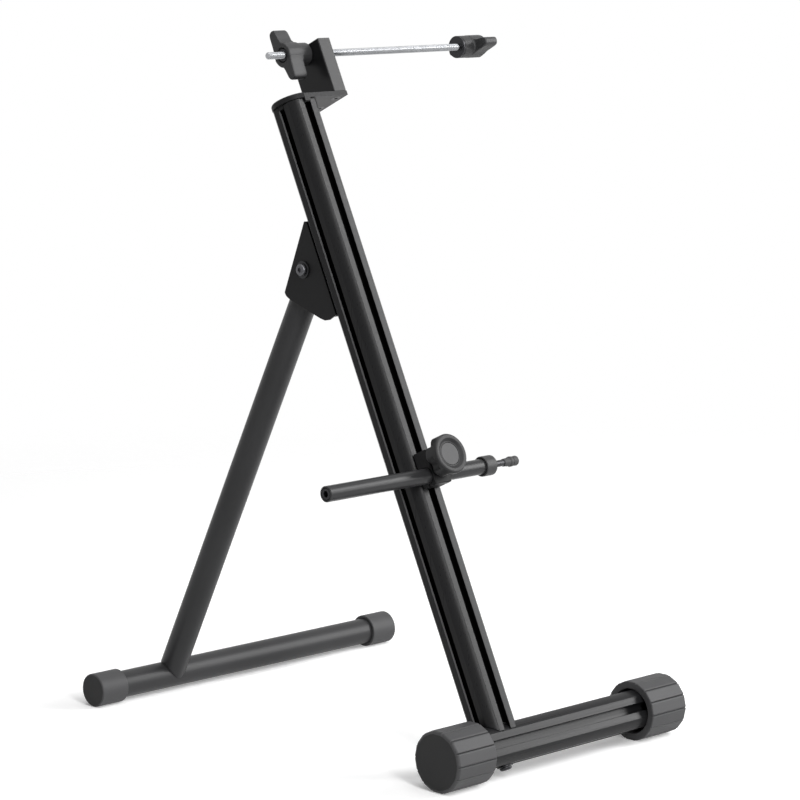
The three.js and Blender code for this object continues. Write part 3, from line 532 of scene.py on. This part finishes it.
def frontCapRows():
    # bore, then the mouth's round, where the grooves deepen with sin a, and the end's round, where they
    # fade with cos a
    radius, length, groove = frontCap["radius"], frontCap["length"], frontCap["groove"]
    edge, mouth, least = frontCap["endEdge"], frontCap["mouthEdge"], frontCap["mouthGrooveShare"]
    bore, inside = frontCap["bore"], length - frontCap["floor"]
    rows = [(0, inside), (bore, inside), (bore, frontCap["boreEdge"]), (bore + frontCap["boreEdge"], 0)]
    for a in quarterTurn(frontCap["mouthSteps"]):
        depth = groove * (least + (1 - least) * math.sin(a))
        rows.append((ribbed(radius - mouth * (1 - math.sin(a)), depth), mouth * (1 - math.cos(a))))
    for a in quarterTurn(frontCap["endSteps"]):
        outer = ribbed(radius - edge * (1 - math.cos(a)), groove * math.cos(a))
        rows.append((outer, length - edge * (1 - math.sin(a))))
    return rows + [(radius - edge - frontCap["lidEdge"], length), (0, length)]


def capPut(node, sign, length, where):
    # Z runs from the cap's mouth to its closed end, which lies at the node's outer face
    low, high = boxMm(node)
    mouth = (low if sign < 0 else high)[0] - postMiddle - sign * length
    return lambda points: place(alongX(points if sign > 0 else upsideDown(points)) + [mouth, 0, 0], where)


# the closed end's face takes the smoother end-face material, whose darker colour is painted shade
for side, sign in sides:
    node = f"front_foot_cap_{side}"
    turnedPiece(f"frontFootCap{side.title()}", frontCapRows(), frontCap["lobes"] * frontCap["perLobe"],
                mouldedRubber, node, capPut(node, sign, frontCap["length"], footFrame),
                smooth=frontCap["smooth"], lid=smoothRubberPaintedShade, lidRows=2)

# Plain rubber cap of the rear foot
rearCap = {"radius": 11.8, "bore": 9.8, "boreEdge": 0.2, "length": 23, "floor": 3, "endEdge": 0.9,
           "mouthEdge": 0.6, "edgeSteps": 5, "smooth": 40}


def rearCapRows():
    # bore, then a quarter round at the mouth and one at the closed end
    radius, bore, length, steps = rearCap["radius"], rearCap["bore"], rearCap["length"], rearCap["edgeSteps"]
    inside = length - rearCap["floor"]
    start = [(0, inside), (bore, inside), (bore, rearCap["boreEdge"]), (bore + rearCap["boreEdge"], 0)]
    mouth = lowerRound(radius, 0, rearCap["mouthEdge"], steps)
    return start + mouth + upperRound(radius, length, rearCap["endEdge"], steps) + [(0, length)]


# the closed end's face takes the smoother end-face material, whose darker colour is painted shade
for side, sign in sides:
    node = f"rear_foot_cap_{side}"
    turnedPiece(f"rearFootCap{side.title()}", rearCapRows(), largeRound, mouldedRubber, node,
                capPut(node, sign, rearCap["length"], rearFrame), smooth=rearCap["smooth"], lid=smoothRubberPaintedShade,
                lidRows=1)

# Round steel tube of the rear foot and the leg
tube = {"radius": 9.5, "wall": 1.5, "gap": 0.3, "edge": 0.3, "legRound": 96, "smooth": 40}


def steelTubeRows(low, high):
    # the tube's own radius, wall and edge from low to high
    return tubeRows(tube["radius"], tube["radius"] - tube["wall"], low, high, tube["edge"])


def alongRearFoot(points):
    # Z runs to the right along the rear foot's axis, from the post's middle
    return place(alongX(points), rearFrame)


low, high = boxMm("rear_foot_tube")
turnedPiece("rearFootTube", steelTubeRows(low[0] - postMiddle, high[0] - postMiddle), largeRound, powderCoat,
            "rear_foot_tube", alongRearFoot, loop=True, smooth=tube["smooth"])

legLength = (pivotCentre[2] - rearCentre[2]) / math.cos(lean["leg"])


def legPoints(points):
    # the lower end follows the rear foot's tube and the upper end is a half round about the pivot
    across = np.minimum(np.abs(points[..., 1]), tube["radius"])
    saddle = np.sqrt((tube["radius"] + tube["gap"]) ** 2 - across ** 2)
    crown = np.sqrt(tube["radius"] ** 2 - across ** 2)
    points[..., 2] += np.where(points[..., 2] < -legLength / 2, saddle, crown)
    return place(points, legFrame)


turnedPiece("rearLegTube", steelTubeRows(-legLength, 0), tube["legRound"], powderCoat, "rear_leg_tube",
            legPoints, loop=True, smooth=tube["smooth"])
print("stage 3: feet, post and leg made")

# Low head of the screws drawn here: chamfers, the crown's fall as a share of the radius, and where it starts
screwHead = {"tipEdge": 0.4, "rimEdge": 0.15, "keyEdge": 0.15, "keyCone": 0.4, "crownShare": 0.38,
             "crownPower": 1.6, "rimShare": 0.25, "crownSteps": 6}


def hexagon(across, count):
    # distance of a regular hexagon's side from its centre, by angle
    angle = np.arange(count) * turn / count
    return across / 2 / np.cos((angle + turn / 12) % (turn / 6) - turn / 12)


def screwRows(screw, length):
    # plain shank and a hexagon socket in a crowned head above Z = 0; over t from 0 to 1 the crown's radius
    # falls by crownShare t ^ crownPower, and its height grows from rimShare with the sine of t quarter turns
    shank, head, height = screw["shank"], screw["head"], screw["height"]
    tip, rim, keyEdge = screwHead["tipEdge"], screwHead["rimEdge"], screwHead["keyEdge"]
    low, floor = screwHead["rimShare"], height - screw["depth"]
    crown = [(head * (1 - screwHead["crownShare"] * t ** screwHead["crownPower"]),
              height * (low + (1 - low) * math.sin(t * math.pi / 2)))
             for t in np.linspace(0, 1, screwHead["crownSteps"] + 1)]
    key = hexagon(screw["socket"], smallRound)
    return [(0, -length), (shank - tip, -length), (shank, -length + tip), (shank, 0), (head - rim, 0),
            (head, rim)] + crown + [(key + keyEdge, height), (key, height - keyEdge), (key, floor),
                                    (0, floor - screwHead["keyCone"])]


# Pivot of the leg: bolt from the left, a washer on each cheek and a hexagon nut
hingeBolt = {"shank": 2.5, "head": 4.2, "height": 2.4, "socket": 3, "depth": 1.4}
hingeWasher = {"radius": 5.8, "bore": 2.8}
hingeNut = {"across": 8, "bore": 2.8, "edge": 0.3, "faceShare": 0.93}
low, high = boxMm("hinge_bolt")
seatX = low[0] + hingeBolt["height"]
turnedPiece("hingeBolt", screwRows(hingeBolt, high[0] - seatX), smallRound, wornOxide, "hinge_bolt",
            lambda points: onPivot(upsideDown(points) + [0, 0, seatX]))
for side in ("left", "right"):
    low, high = boxMm(f"hinge_washer_{side}")
    rows = washerRows(hingeWasher["radius"], hingeWasher["bore"], low[0], high[0])
    turnedPiece(f"hingeWasher{side.title()}", rows, smallRound, blackOxide, f"hinge_washer_{side}", onPivot,
                loop=True)


def hingeNutRows(low, high):
    # hexagon that narrows towards both faces, with a chamfered bore
    key, bore, edge = hexagon(hingeNut["across"], smallRound), hingeNut["bore"], hingeNut["edge"]
    face = key * hingeNut["faceShare"]
    return [(bore, low + edge), (bore + edge, low), (face, low), (key, low + edge), (key, high - edge),
            (face, high), (bore + edge, high), (bore, high - edge)]


low, high = boxMm("hinge_nut")
turnedPiece("hingeNut", hingeNutRows(low[0], high[0]), smallRound, zincPlate, "hinge_nut", onPivot,
            loop=True)

# Bolt and washer below the foot bar
footBolt = {"shank": 2.5, "head": 4.2, "height": 2, "socket": 2.5, "depth": 1.2, "reach": 30}
footWasher = {"radius": 5.5, "bore": 2.8, "thickness": 0.8, "gap": 0.3}
washerLow = -profile["across"] / 2 - footWasher["gap"] - footWasher["thickness"]
headSeat = washerLow - footWasher["gap"]
turnedPiece("footBolt", screwRows(footBolt, footBolt["reach"] - headSeat), smallRound, blackOxide,
            "foot_bolt", lambda points: onPost(upsideDown(points) + [0, 0, headSeat]))
rows = washerRows(footWasher["radius"], footWasher["bore"], washerLow, washerLow + footWasher["thickness"])
turnedPiece("footBoltWasher", rows, smallRound, blackOxide, "foot_bolt_washer", onPost, loop=True)

# Two screws hold the bracket's sheet to the post's rear slot, below the pivot
bracketScrew = {"shank": 2.5, "length": 6.4, "head": 5.5, "height": 2.2, "socket": 2.5, "depth": 1.3,
                "sheet": 1.2, "gap": 0.15, "below": 31.2, "pitch": 18, "pivotAlong": 343.2}
behind = profile["across"] / 2 + bracketScrew["sheet"] + bracketScrew["gap"]
for i, name in enumerate(("lower", "upper")):
    along = bracketScrew["pivotAlong"] - bracketScrew["below"] + i * bracketScrew["pitch"]
    turnedPiece(f"bracketScrew{name.title()}", screwRows(bracketScrew, bracketScrew["length"]), smallRound,
                blackOxide, f"bracket_screw_{name}",
                lambda points: onPost(alongY(points) + [0, behind, along]))

# Folded sheet, plate, end cap and blocks keep the frame's own faces: finish, edge rounding and seat of each
headPieces = {"hinge_bracket": ("hingeBracket", flatCoat, 0.3, 0),
              "head_plate": ("headPlate", flatCoat, 0.3, 0),
              "dropout_block": ("dropoutBlock", blockCoat, 0.15, -1),
              "post_end_cap": ("postEndCap", darkNylon, 0.2, 1),
              "gauge_clamp_block": ("gaugeClampBlock", blastedBlock, 0.2, 0)}
for node, (name, material, edge, seat) in headPieces.items():
    softened(name, material, node, edge, seat)
print("stage 4: hinge and head made")

# Threaded axle rod: metric 5 thread at 0.8 mm pitch
axle = {"radius": 2.5, "pitch": 0.8, "depth": 0.42, "around": 20, "perTurn": 6, "chamfer": 0.8, "smooth": 60}


def threadRows(low, high):
    # the radius dips by a rounded saw of height and angle: depth (1 - cos(2 pi (h / pitch - a / turn))) / 2
    height = np.arange(low, high, axle["pitch"] / axle["perTurn"])
    share = np.arange(axle["around"]) / axle["around"]
    dip = axle["depth"] * (1 - np.cos(turn * (height[:, None] / axle["pitch"] - share))) / 2
    end = np.minimum(height - low, high - height)[:, None]
    radius = np.minimum(axle["radius"] - dip, axle["radius"] - axle["chamfer"] + np.maximum(end, 0))
    return [(0, low)] + list(zip(radius, height)) + [(0, high)]


low, high = boxMm("axle_rod")
turnedPiece("axleRod", threadRows(low[0], high[0]), axle["around"], zincPlate, "axle_rod", onAxle,
            smooth=axle["smooth"])

# Wing nut: a round body that grows two wings on its outer end, all moulded in one, with a steel insert
wing = {"radius": 7.9, "length": 21.3, "thickness": 12, "edge": 1.1, "edgeSteps": 5, "root": 1.6,
        "baseEdge": 0.4, "recess": 2, "recessRadius": 5.2, "recessEdge": 0.3, "bore": 2.8, "pocket": 4.8,
        "pocketFloor": 1, "blend": 10, "count": 180, "sideSteps": 40, "gap": 0.3, "smooth": 50}
insert = {"radius": 4.5, "length": 19.2, "edge": 0.3}
# One wing's outline from the middle outwards and back, as shares of the body's radius
wingShares = [[0, 0], [0.9, 0.1], [0.6, 0.8], [0.3, 1], [0.16, 1.4], [0.03, 2.04], [-0.03, 2.24],
              [-0.16, 2.36], [-0.36, 2.4], [-0.62, 2.33], [-0.75, 2.18], [-0.8, 1.95], [-0.88, 0.3]]


def wingOutline():
    # the ray at each angle meets the wing's outline; body and wings blend by a power mean
    corners, steps = np.array(wingShares), wing["sideSteps"]
    t = np.linspace(0, 1, steps, endpoint=False)[None, :, None]
    dense = ((1 - t) * corners[:-1, None] + t * corners[1:, None]).reshape(-1, 2)[steps + 1:]
    angle, reach = np.arctan2(dense[:, 1], dense[:, 0]), np.hypot(dense[:, 0], dense[:, 1])
    at = np.arange(wing["count"]) * turn / wing["count"]
    one = np.interp(at, angle, reach, left=0, right=0)
    two = np.interp((at + math.pi) % turn, angle, reach, left=0, right=0)
    return (1 + one ** wing["blend"] + two ** wing["blend"]) ** (1 / wing["blend"])


def wingNutRows():
    # round body; the wings grow out of it over a quarter round and have rounded edges on both sides, and
    # the outer face is recessed round the insert's pocket
    radius, length, edge, root = wing["radius"], wing["length"], wing["edge"], wing["root"]
    start, turns = length - wing["thickness"], quarterTurn(wing["edgeSteps"])
    outline = wingOutline() * radius
    grow = outline - radius
    rows = [(wing["bore"], 0), (radius - wing["baseEdge"], 0), (radius, wing["baseEdge"]),
            (radius, start - root)]
    rows += [(radius + np.minimum(root * (1 - math.cos(a)), grow), start - root + root * math.sin(a))
             for a in turns[1:]]
    rows += [(radius + np.maximum(grow - edge * (1 - math.sin(a)), np.minimum(root, grow)),
              start + edge * (1 - math.cos(a))) for a in turns]
    rows += upperRound(outline, length, edge, wing["edgeSteps"])
    floor, recess, rim = length - wing["recess"], wing["recessRadius"], wing["recessEdge"]
    return rows + [(recess + rim, length), (recess, length - rim), (recess, floor), (wing["pocket"], floor),
                   (wing["pocket"], wing["pocketFloor"]), (wing["bore"], wing["pocketFloor"])]


def insertRows():
    # plain ring; it ends nearer the recess than its solid does, as the real one is seen
    start = wing["pocketFloor"] + wing["gap"]
    return washerRows(insert["radius"], wing["bore"], start, start + insert["length"], insert["edge"])


leftSeat = boxMm("dropout_block")[0][0] - wing["gap"]
rightSeat = boxMm("hub_washer")[1][0] + wing["gap"]


def facingLeft(points):
    # quarter turn about Z, then the axis to the left, so that the wings stand along the post
    points = np.stack([points[..., 1], -points[..., 0], points[..., 2]], -1)
    points = np.stack([-points[..., 2], points[..., 1], points[..., 0]], -1)
    return place(points + [leftSeat, 0, 0], axleFrame)


def facingRight(points):
    # the wings stand square to the post
    return onAxle(points + [0, 0, rightSeat])


facings = {"left": facingLeft, "right": facingRight}
for side, facing in facings.items():
    turnedPiece(f"wingNut{side.title()}", wingNutRows(), wing["count"], glassNylon, f"wing_nut_{side}",
                facing, loop=True, smooth=wing["smooth"])
for side, facing in facings.items():
    turnedPiece(f"wingInsert{side.title()}", insertRows(), smallRound, blackOxide, f"wing_nut_{side}_insert",
                facing, loop=True)

# Washer on the rod, beside the right wing nut
stopWasher = {"radius": 7.9, "bore": 2.8}
low, high = boxMm("hub_washer")
turnedPiece("hubWasher", washerRows(stopWasher["radius"], stopWasher["bore"], low[0], high[0]), largeRound,
            blackOxide, "hub_washer", onAxle, loop=True)
print("stage 5: axle and wing nuts made")

# Clamp knob in front of the block on the post's front flat: scalloped, with a dished face and an inlaid disc
clamp = {"along": 188.5, "blockDepth": 13.2, "gap": 0.3}
knob = {"radius": 13.5, "thickness": 11.2, "count": 240, "smooth": 45, "boss": 7.5, "bossLength": 3.1,
        "bossEdge": 0.4, "bossRoot": 0.6, "lobes": 5, "turn": math.radians(20), "scallop": 2.7,
        "scallopHalf": math.radians(25), "backEdge": 1.6, "edge": 1.5, "edgeSteps": 7, "flange": 2.9,
        "waist": 1.8, "waistSteps": 8, "dish": 1.5, "dishRadius": 10.2, "dishRim": 0.4, "dishEdge": 0.15,
        "dishSlope": 1.2, "dishFoot": 1.7, "slopeShare": 0.8, "pocket": 7.9, "pocketDepth": 1.1,
        "socket": 2.8, "socketDepth": 6.3}
disc = {"radius": 7.6, "thickness": 0.8, "edge": 0.15, "around": 72}
stud = {"radius": 2.5, "start": 7.9, "inKnob": 6, "edge": 0.3}
knobBack = profile["across"] / 2 + clamp["gap"] + clamp["blockDepth"] + clamp["gap"]
discFront = knobBack + knob["bossLength"] + knob["thickness"] - knob["dish"]


def onClamp(points):
    # Z points forwards from the post's axis
    points = np.stack([points[..., 0], -points[..., 2], points[..., 1]], -1)
    return onPost(points + [0, 0, clamp["along"]])


def scalloped(radius, depth):
    # radius - depth (1 + cos(pi a / half)) / 2 within half a scallop's width of its middle, else the radius
    angle, pitch = np.arange(knob["count"]) * turn / knob["count"] - knob["turn"], turn / knob["lobes"]
    off = np.abs(angle % pitch - pitch / 2) / knob["scallopHalf"]
    return radius - depth * (1 + np.cos(math.pi * np.minimum(off, 1))) / 2


def knobRows():
    # boss, scalloped grip with a round back edge, a waist where the scallops run out into a round flange,
    # the dish in the front face with the disc's pocket, and the stud's socket in the back
    radius, scallop, steps = knob["radius"], knob["scallop"], knob["edgeSteps"]
    boss, dish, socket = knob["boss"], knob["dishRadius"], knob["socket"]
    low, high = knob["bossLength"], knob["bossLength"] + knob["thickness"]
    shoulder, dished = high - knob["flange"], high - knob["dish"]
    rows = [(socket, 0), (boss - knob["bossEdge"], 0), (boss, knob["bossEdge"]),
            (boss, low - knob["bossRoot"]), (boss + knob["bossRoot"], low)]
    rows += [(scalloped(r, scallop), h) for r, h in lowerRound(radius, low, knob["backEdge"], steps)]
    for a in np.linspace(0, math.pi, knob["waistSteps"] + 1):
        rows.append((scalloped(radius, scallop * (1 + math.cos(a)) / 2),
                     shoulder - knob["waist"] * (1 - a / math.pi)))
    rows += upperRound(radius, high, knob["edge"], steps)
    rows += [(dish + knob["dishRim"], high), (dish, high - knob["dishEdge"]),
             (dish - knob["dishSlope"], high - knob["dish"] * knob["slopeShare"]),
             (dish - knob["dishFoot"], dished)]
    floor = dished - knob["pocketDepth"]
    return rows + [(knob["pocket"], dished), (knob["pocket"], floor), (0, floor), (0, knob["socketDepth"]),
                   (socket, knob["socketDepth"])]


def discRows():
    # flat disc with its front rim chamfered
    radius, back, edge = disc["radius"], discFront - disc["thickness"], disc["edge"]
    return [(0, back), (radius, back), (radius, discFront - edge), (radius - edge, discFront),
            (0, discFront)]


turnedPiece("clampKnob", knobRows(), knob["count"], knobNylon, "clamp_knob",
            lambda points: onClamp(points + [0, 0, knobBack]), loop=True, smooth=knob["smooth"])
turnedPiece("knobDisc", discRows(), disc["around"], glassNylon, "knob_disc", onClamp)
turnedPiece("clampStud", pegRows(stud["radius"], stud["start"], knobBack + stud["inKnob"], stud["edge"]),
            smallRound, zincPlate, "clamp_stud", onClamp)

# Gauge: tube with a plug in its left end, collar, pin and soft tip
gaugeTube = {"radius": 5.25, "bore": 4.05, "edge": 0.3, "leftEdge": 0.4}
low, high = boxMm("gauge_tube")
turnedPiece("gaugeTube", tubeRows(gaugeTube["radius"], gaugeTube["bore"], low[0], high[0], gaugeTube["edge"],
            gaugeTube["leftEdge"]), largeRound, anodisedTubePaintedLight, "gauge_tube", onGauge, loop=True)

plug = {"radius": 3.75, "edge": 0.3, "socket": 4, "socketEdge": 0.2, "socketDepth": 3, "cone": 0.2}


def plugRows(low, high):
    # solid plug with a hexagon socket in its left face
    radius, edge, keyEdge = plug["radius"], plug["edge"], plug["socketEdge"]
    key, floor = hexagon(plug["socket"], smallRound), low + plug["socketDepth"]
    return [(0, high), (radius, high), (radius, low + edge), (radius - edge, low), (key + keyEdge, low),
            (key, low + keyEdge), (key, floor), (0, floor + plug["cone"])]


low, high = boxMm("gauge_end_plug")
turnedPiece("gaugeEndPlug", plugRows(low[0], high[0]), smallRound, blackOxide, "gauge_end_plug", onGauge)

collar = {"radius": 6.8, "edge": 0.7, "edgeSteps": 4, "mouth": 5.55, "mouthEdge": 0.3, "bore": 2.55,
          "boreEdge": 0.25, "floor": 2.8}


def collarRows(low, high):
    # round outside with rounded rims, a wide mouth for the tube and a narrow bore for the pin
    radius, edge, steps, mouth = collar["radius"], collar["edge"], collar["edgeSteps"], collar["mouth"]
    bore, floor = collar["bore"], high - collar["floor"]
    outside = lowerRound(radius, low, edge, steps) + upperRound(radius, high, edge, steps)
    return [(mouth, low + collar["mouthEdge"]), (mouth + collar["mouthEdge"], low)] + outside + [
        (bore + collar["boreEdge"], high), (bore, high - collar["boreEdge"]), (bore, floor), (mouth, floor)]


low, high = boxMm("gauge_collar")
turnedPiece("gaugeCollar", collarRows(low[0], high[0]), largeRound, glassNylon, "gauge_collar", onGauge,
            loop=True)

pin = {"radius": 2.25, "edge": 0.3}
low, high = boxMm("gauge_pin")
turnedPiece("gaugePin", pegRows(pin["radius"], low[0], high[0], pin["edge"]), smallRound, blackOxide,
            "gauge_pin", onGauge)

# Soft tip, each point as radius and distance from the node's left end: the bore over the pin, the sleeve, a
# ring and a groove, then a round nose
tip = {"bore": [(0, 5), (2.4, 5), (2.4, -5.5)], "sleeve": [(2.6, -5.5), (3, -0.3)],
       "ring": [(3.35, 0.1), (3.5, 0.4), (3.5, 1.9), (3.3, 2.1)],
       "groove": [(2.95, 2.3), (2.95, 2.8), (3.2, 3.1)], "nose": 3.4, "noseRound": 1.3, "noseSteps": 6}
low, high = boxMm("gauge_tip")
neck = [(r, low[0] + h) for r, h in tip["bore"] + tip["sleeve"] + tip["ring"] + tip["groove"]]
nose = upperRound(tip["nose"], high[0], tip["noseRound"], tip["noseSteps"])
turnedPiece("gaugeTip", neck + nose + [(0, high[0])], smallRound, mouldedRubber, "gauge_tip", onGauge)

# Nodes whose shape is right keep it and get the real finish
keptNodes = {"bracket_slot_nut_lower": zincPlate, "bracket_slot_nut_upper": zincPlate,
             "gauge_slot_nut": zincPlate, "hinge_bush": zincPlate, "rear_leg_plug": glassNylon,
             "head_plate_screw": blackOxide, "dropout_screw_front": blackOxide,
             "dropout_screw_rear": blackOxide}
for node, material in keptNodes.items():
    nodes[node].data.materials.clear()
    nodes[node].data.materials.append(material)
print("stage 6: gauge made and carried-over nodes finished")

# Pale studio floor, in metres: it fades out round the stand, and looks a little brighter than it is lit
floorLook = {"radius": 2.5, "drop": 0.0002, "around": 64, "fadeStart": 0.5, "fadeEnd": 1.3,
             "colour": "#f0f0f0", "rough": 0.9, "lift": 0.25}


def seenDirectly(tree, path):
    # 1 for rays from the camera or from a mirror-like face, else 0
    return addNode(tree, "ShaderNodeMath", {"operation": "MAXIMUM"},
                   {0: path.outputs["Is Camera Ray"], 1: path.outputs["Is Glossy Ray"]})


def floorMaterial():
    # matt pale paint plus a faint glow, mixed with clear by a smooth step of the distance from the middle
    material, tree = newMaterial("paleStudioFloor")
    where = addNode(tree, "ShaderNodeTexCoord")
    distance = addNode(tree, "ShaderNodeVectorMath", {"operation": "LENGTH"}, {0: where.outputs["Object"]})
    fade = addNode(tree, "ShaderNodeMapRange", {"interpolation_type": "SMOOTHSTEP",
                   "From Min": floorLook["fadeStart"], "From Max": floorLook["fadeEnd"]},
                   {"Value": distance.outputs["Value"]})
    pale = addNode(tree, "ShaderNodeBsdfPrincipled", {"Base Color": linear(floorLook["colour"]),
                   "Roughness": floorLook["rough"], "Specular IOR Level": 0.0})
    seen = seenDirectly(tree, addNode(tree, "ShaderNodeLightPath"))
    lift = addNode(tree, "ShaderNodeMath", {"operation": "MULTIPLY", 1: floorLook["lift"]},
                   {0: seen.outputs["Value"]})
    glow = addNode(tree, "ShaderNodeEmission", {"Color": (1, 1, 1, 1)}, {"Strength": lift.outputs["Value"]})
    lifted = addNode(tree, "ShaderNodeAddShader", {}, {0: pale.outputs["BSDF"], 1: glow.outputs["Emission"]})
    clear = addNode(tree, "ShaderNodeBsdfTransparent")
    mixed = addNode(tree, "ShaderNodeMixShader", {}, {0: fade.outputs["Result"], 1: lifted.outputs["Shader"],
                    2: clear.outputs["BSDF"]})
    addNode(tree, "ShaderNodeOutputMaterial", {}, {"Surface": mixed.outputs["Shader"]})
    return material


floorMesh = bpy.data.meshes.new("floor")
rim = np.column_stack([circle(floorLook["radius"], floorLook["around"]),
                       np.full(floorLook["around"], -floorLook["drop"])])
floorMesh.from_pydata(rim.tolist(), [], [list(range(floorLook["around"]))])
floorMesh.materials.append(floorMaterial())
studioFloor = bpy.data.objects.new("floor", floorMesh)
bpy.context.scene.collection.objects.link(studioFloor)

# Lamps, in metres and watts: two tall panels in front, each with its angle round the stand in degrees from
# +X, its width, the height of its middle and its power, and a wide weaker lamp above
panels = {"distance": 2.4, "height": 2.2, "aim": (0, 0, 0.5),
          "lamps": {"frontPanel": (-110, 0.6, 1.5, 58), "rightPanel": (-38, 0.75, 1.3, 77)}}
topLamp = {"spot": (0, -0.2, 2.4), "size": (2.0, 2.0), "power": 32, "aim": (0, 0, 0)}


def softLamp(name, spot, size, power, aim):
    # an area lamp turned towards its aim
    lamp = bpy.data.lights.new(name, "AREA")
    lamp.shape, lamp.size, lamp.size_y, lamp.energy = "RECTANGLE", size[0], size[1], power
    body = bpy.data.objects.new(name, lamp)
    body.location = spot
    body.rotation_euler = (Vector(aim) - Vector(spot)).to_track_quat("-Z", "Y").to_euler()
    bpy.context.scene.collection.objects.link(body)


for name, (degrees, width, rise, power) in panels["lamps"].items():
    angle = math.radians(degrees)
    spot = (math.cos(angle) * panels["distance"], math.sin(angle) * panels["distance"], rise)
    softLamp(name, spot, (width, panels["height"]), power, panels["aim"])
softLamp("topLamp", topLamp["spot"], topLamp["size"], topLamp["power"], topLamp["aim"])

# White surroundings for the camera and in reflections, and only a faint even light from them on the stand
worldLook = {"light": 0.06, "seen": 1.0}


def studioWorld():
    # strength = seen for camera, glossy and transmission rays, and light for all others
    world = bpy.data.worlds.new("studioWorld")
    world.use_nodes = True
    tree = world.node_tree
    tree.nodes.clear()
    path = addNode(tree, "ShaderNodeLightPath")
    seen = seenDirectly(tree, path)
    seenAll = addNode(tree, "ShaderNodeMath", {"operation": "MAXIMUM"},
                      {0: seen.outputs["Value"], 1: path.outputs["Is Transmission Ray"]})
    level = addNode(tree, "ShaderNodeMapRange", {"To Min": worldLook["light"], "To Max": worldLook["seen"]},
                    {"Value": seenAll.outputs["Value"]})
    sky = addNode(tree, "ShaderNodeBackground", {"Color": (1, 1, 1, 1)},
                  {"Strength": level.outputs["Result"]})
    addNode(tree, "ShaderNodeOutputWorld", {}, {"Surface": sky.outputs["Background"]})
    return world


bpy.context.scene.world = studioWorld()
bpy.context.scene.view_settings.view_transform = "Standard"

# Camera of the photograph: long lens from the front left, a little above. Its place is measured in
# millimetres from the front foot's axis below the post, and the clip distances are in metres.
view = {"fromFoot": (-1478.29, -1404.14, 547.02), "aim": (0.69674, 0.70278, -0.14372), "lens": 145.09,
        "sensor": 36, "shift": (-0.0056, -0.0453), "clip": (0.1, 50)}
lens = bpy.data.cameras.new("photoCamera")
lens.lens, lens.sensor_width = view["lens"], view["sensor"]
lens.shift_x, lens.shift_y = view["shift"]
lens.clip_start, lens.clip_end = view["clip"]
camera = bpy.data.objects.new("photoCamera", lens)
camera.location = (np.array(footFrame["origin"]) + view["fromFoot"]) * mm
camera.rotation_euler = Vector(view["aim"]).to_track_quat("-Z", "Y").to_euler()
bpy.context.scene.collection.objects.link(camera)
bpy.context.scene.camera = camera
print("stage 7: studio and camera set")

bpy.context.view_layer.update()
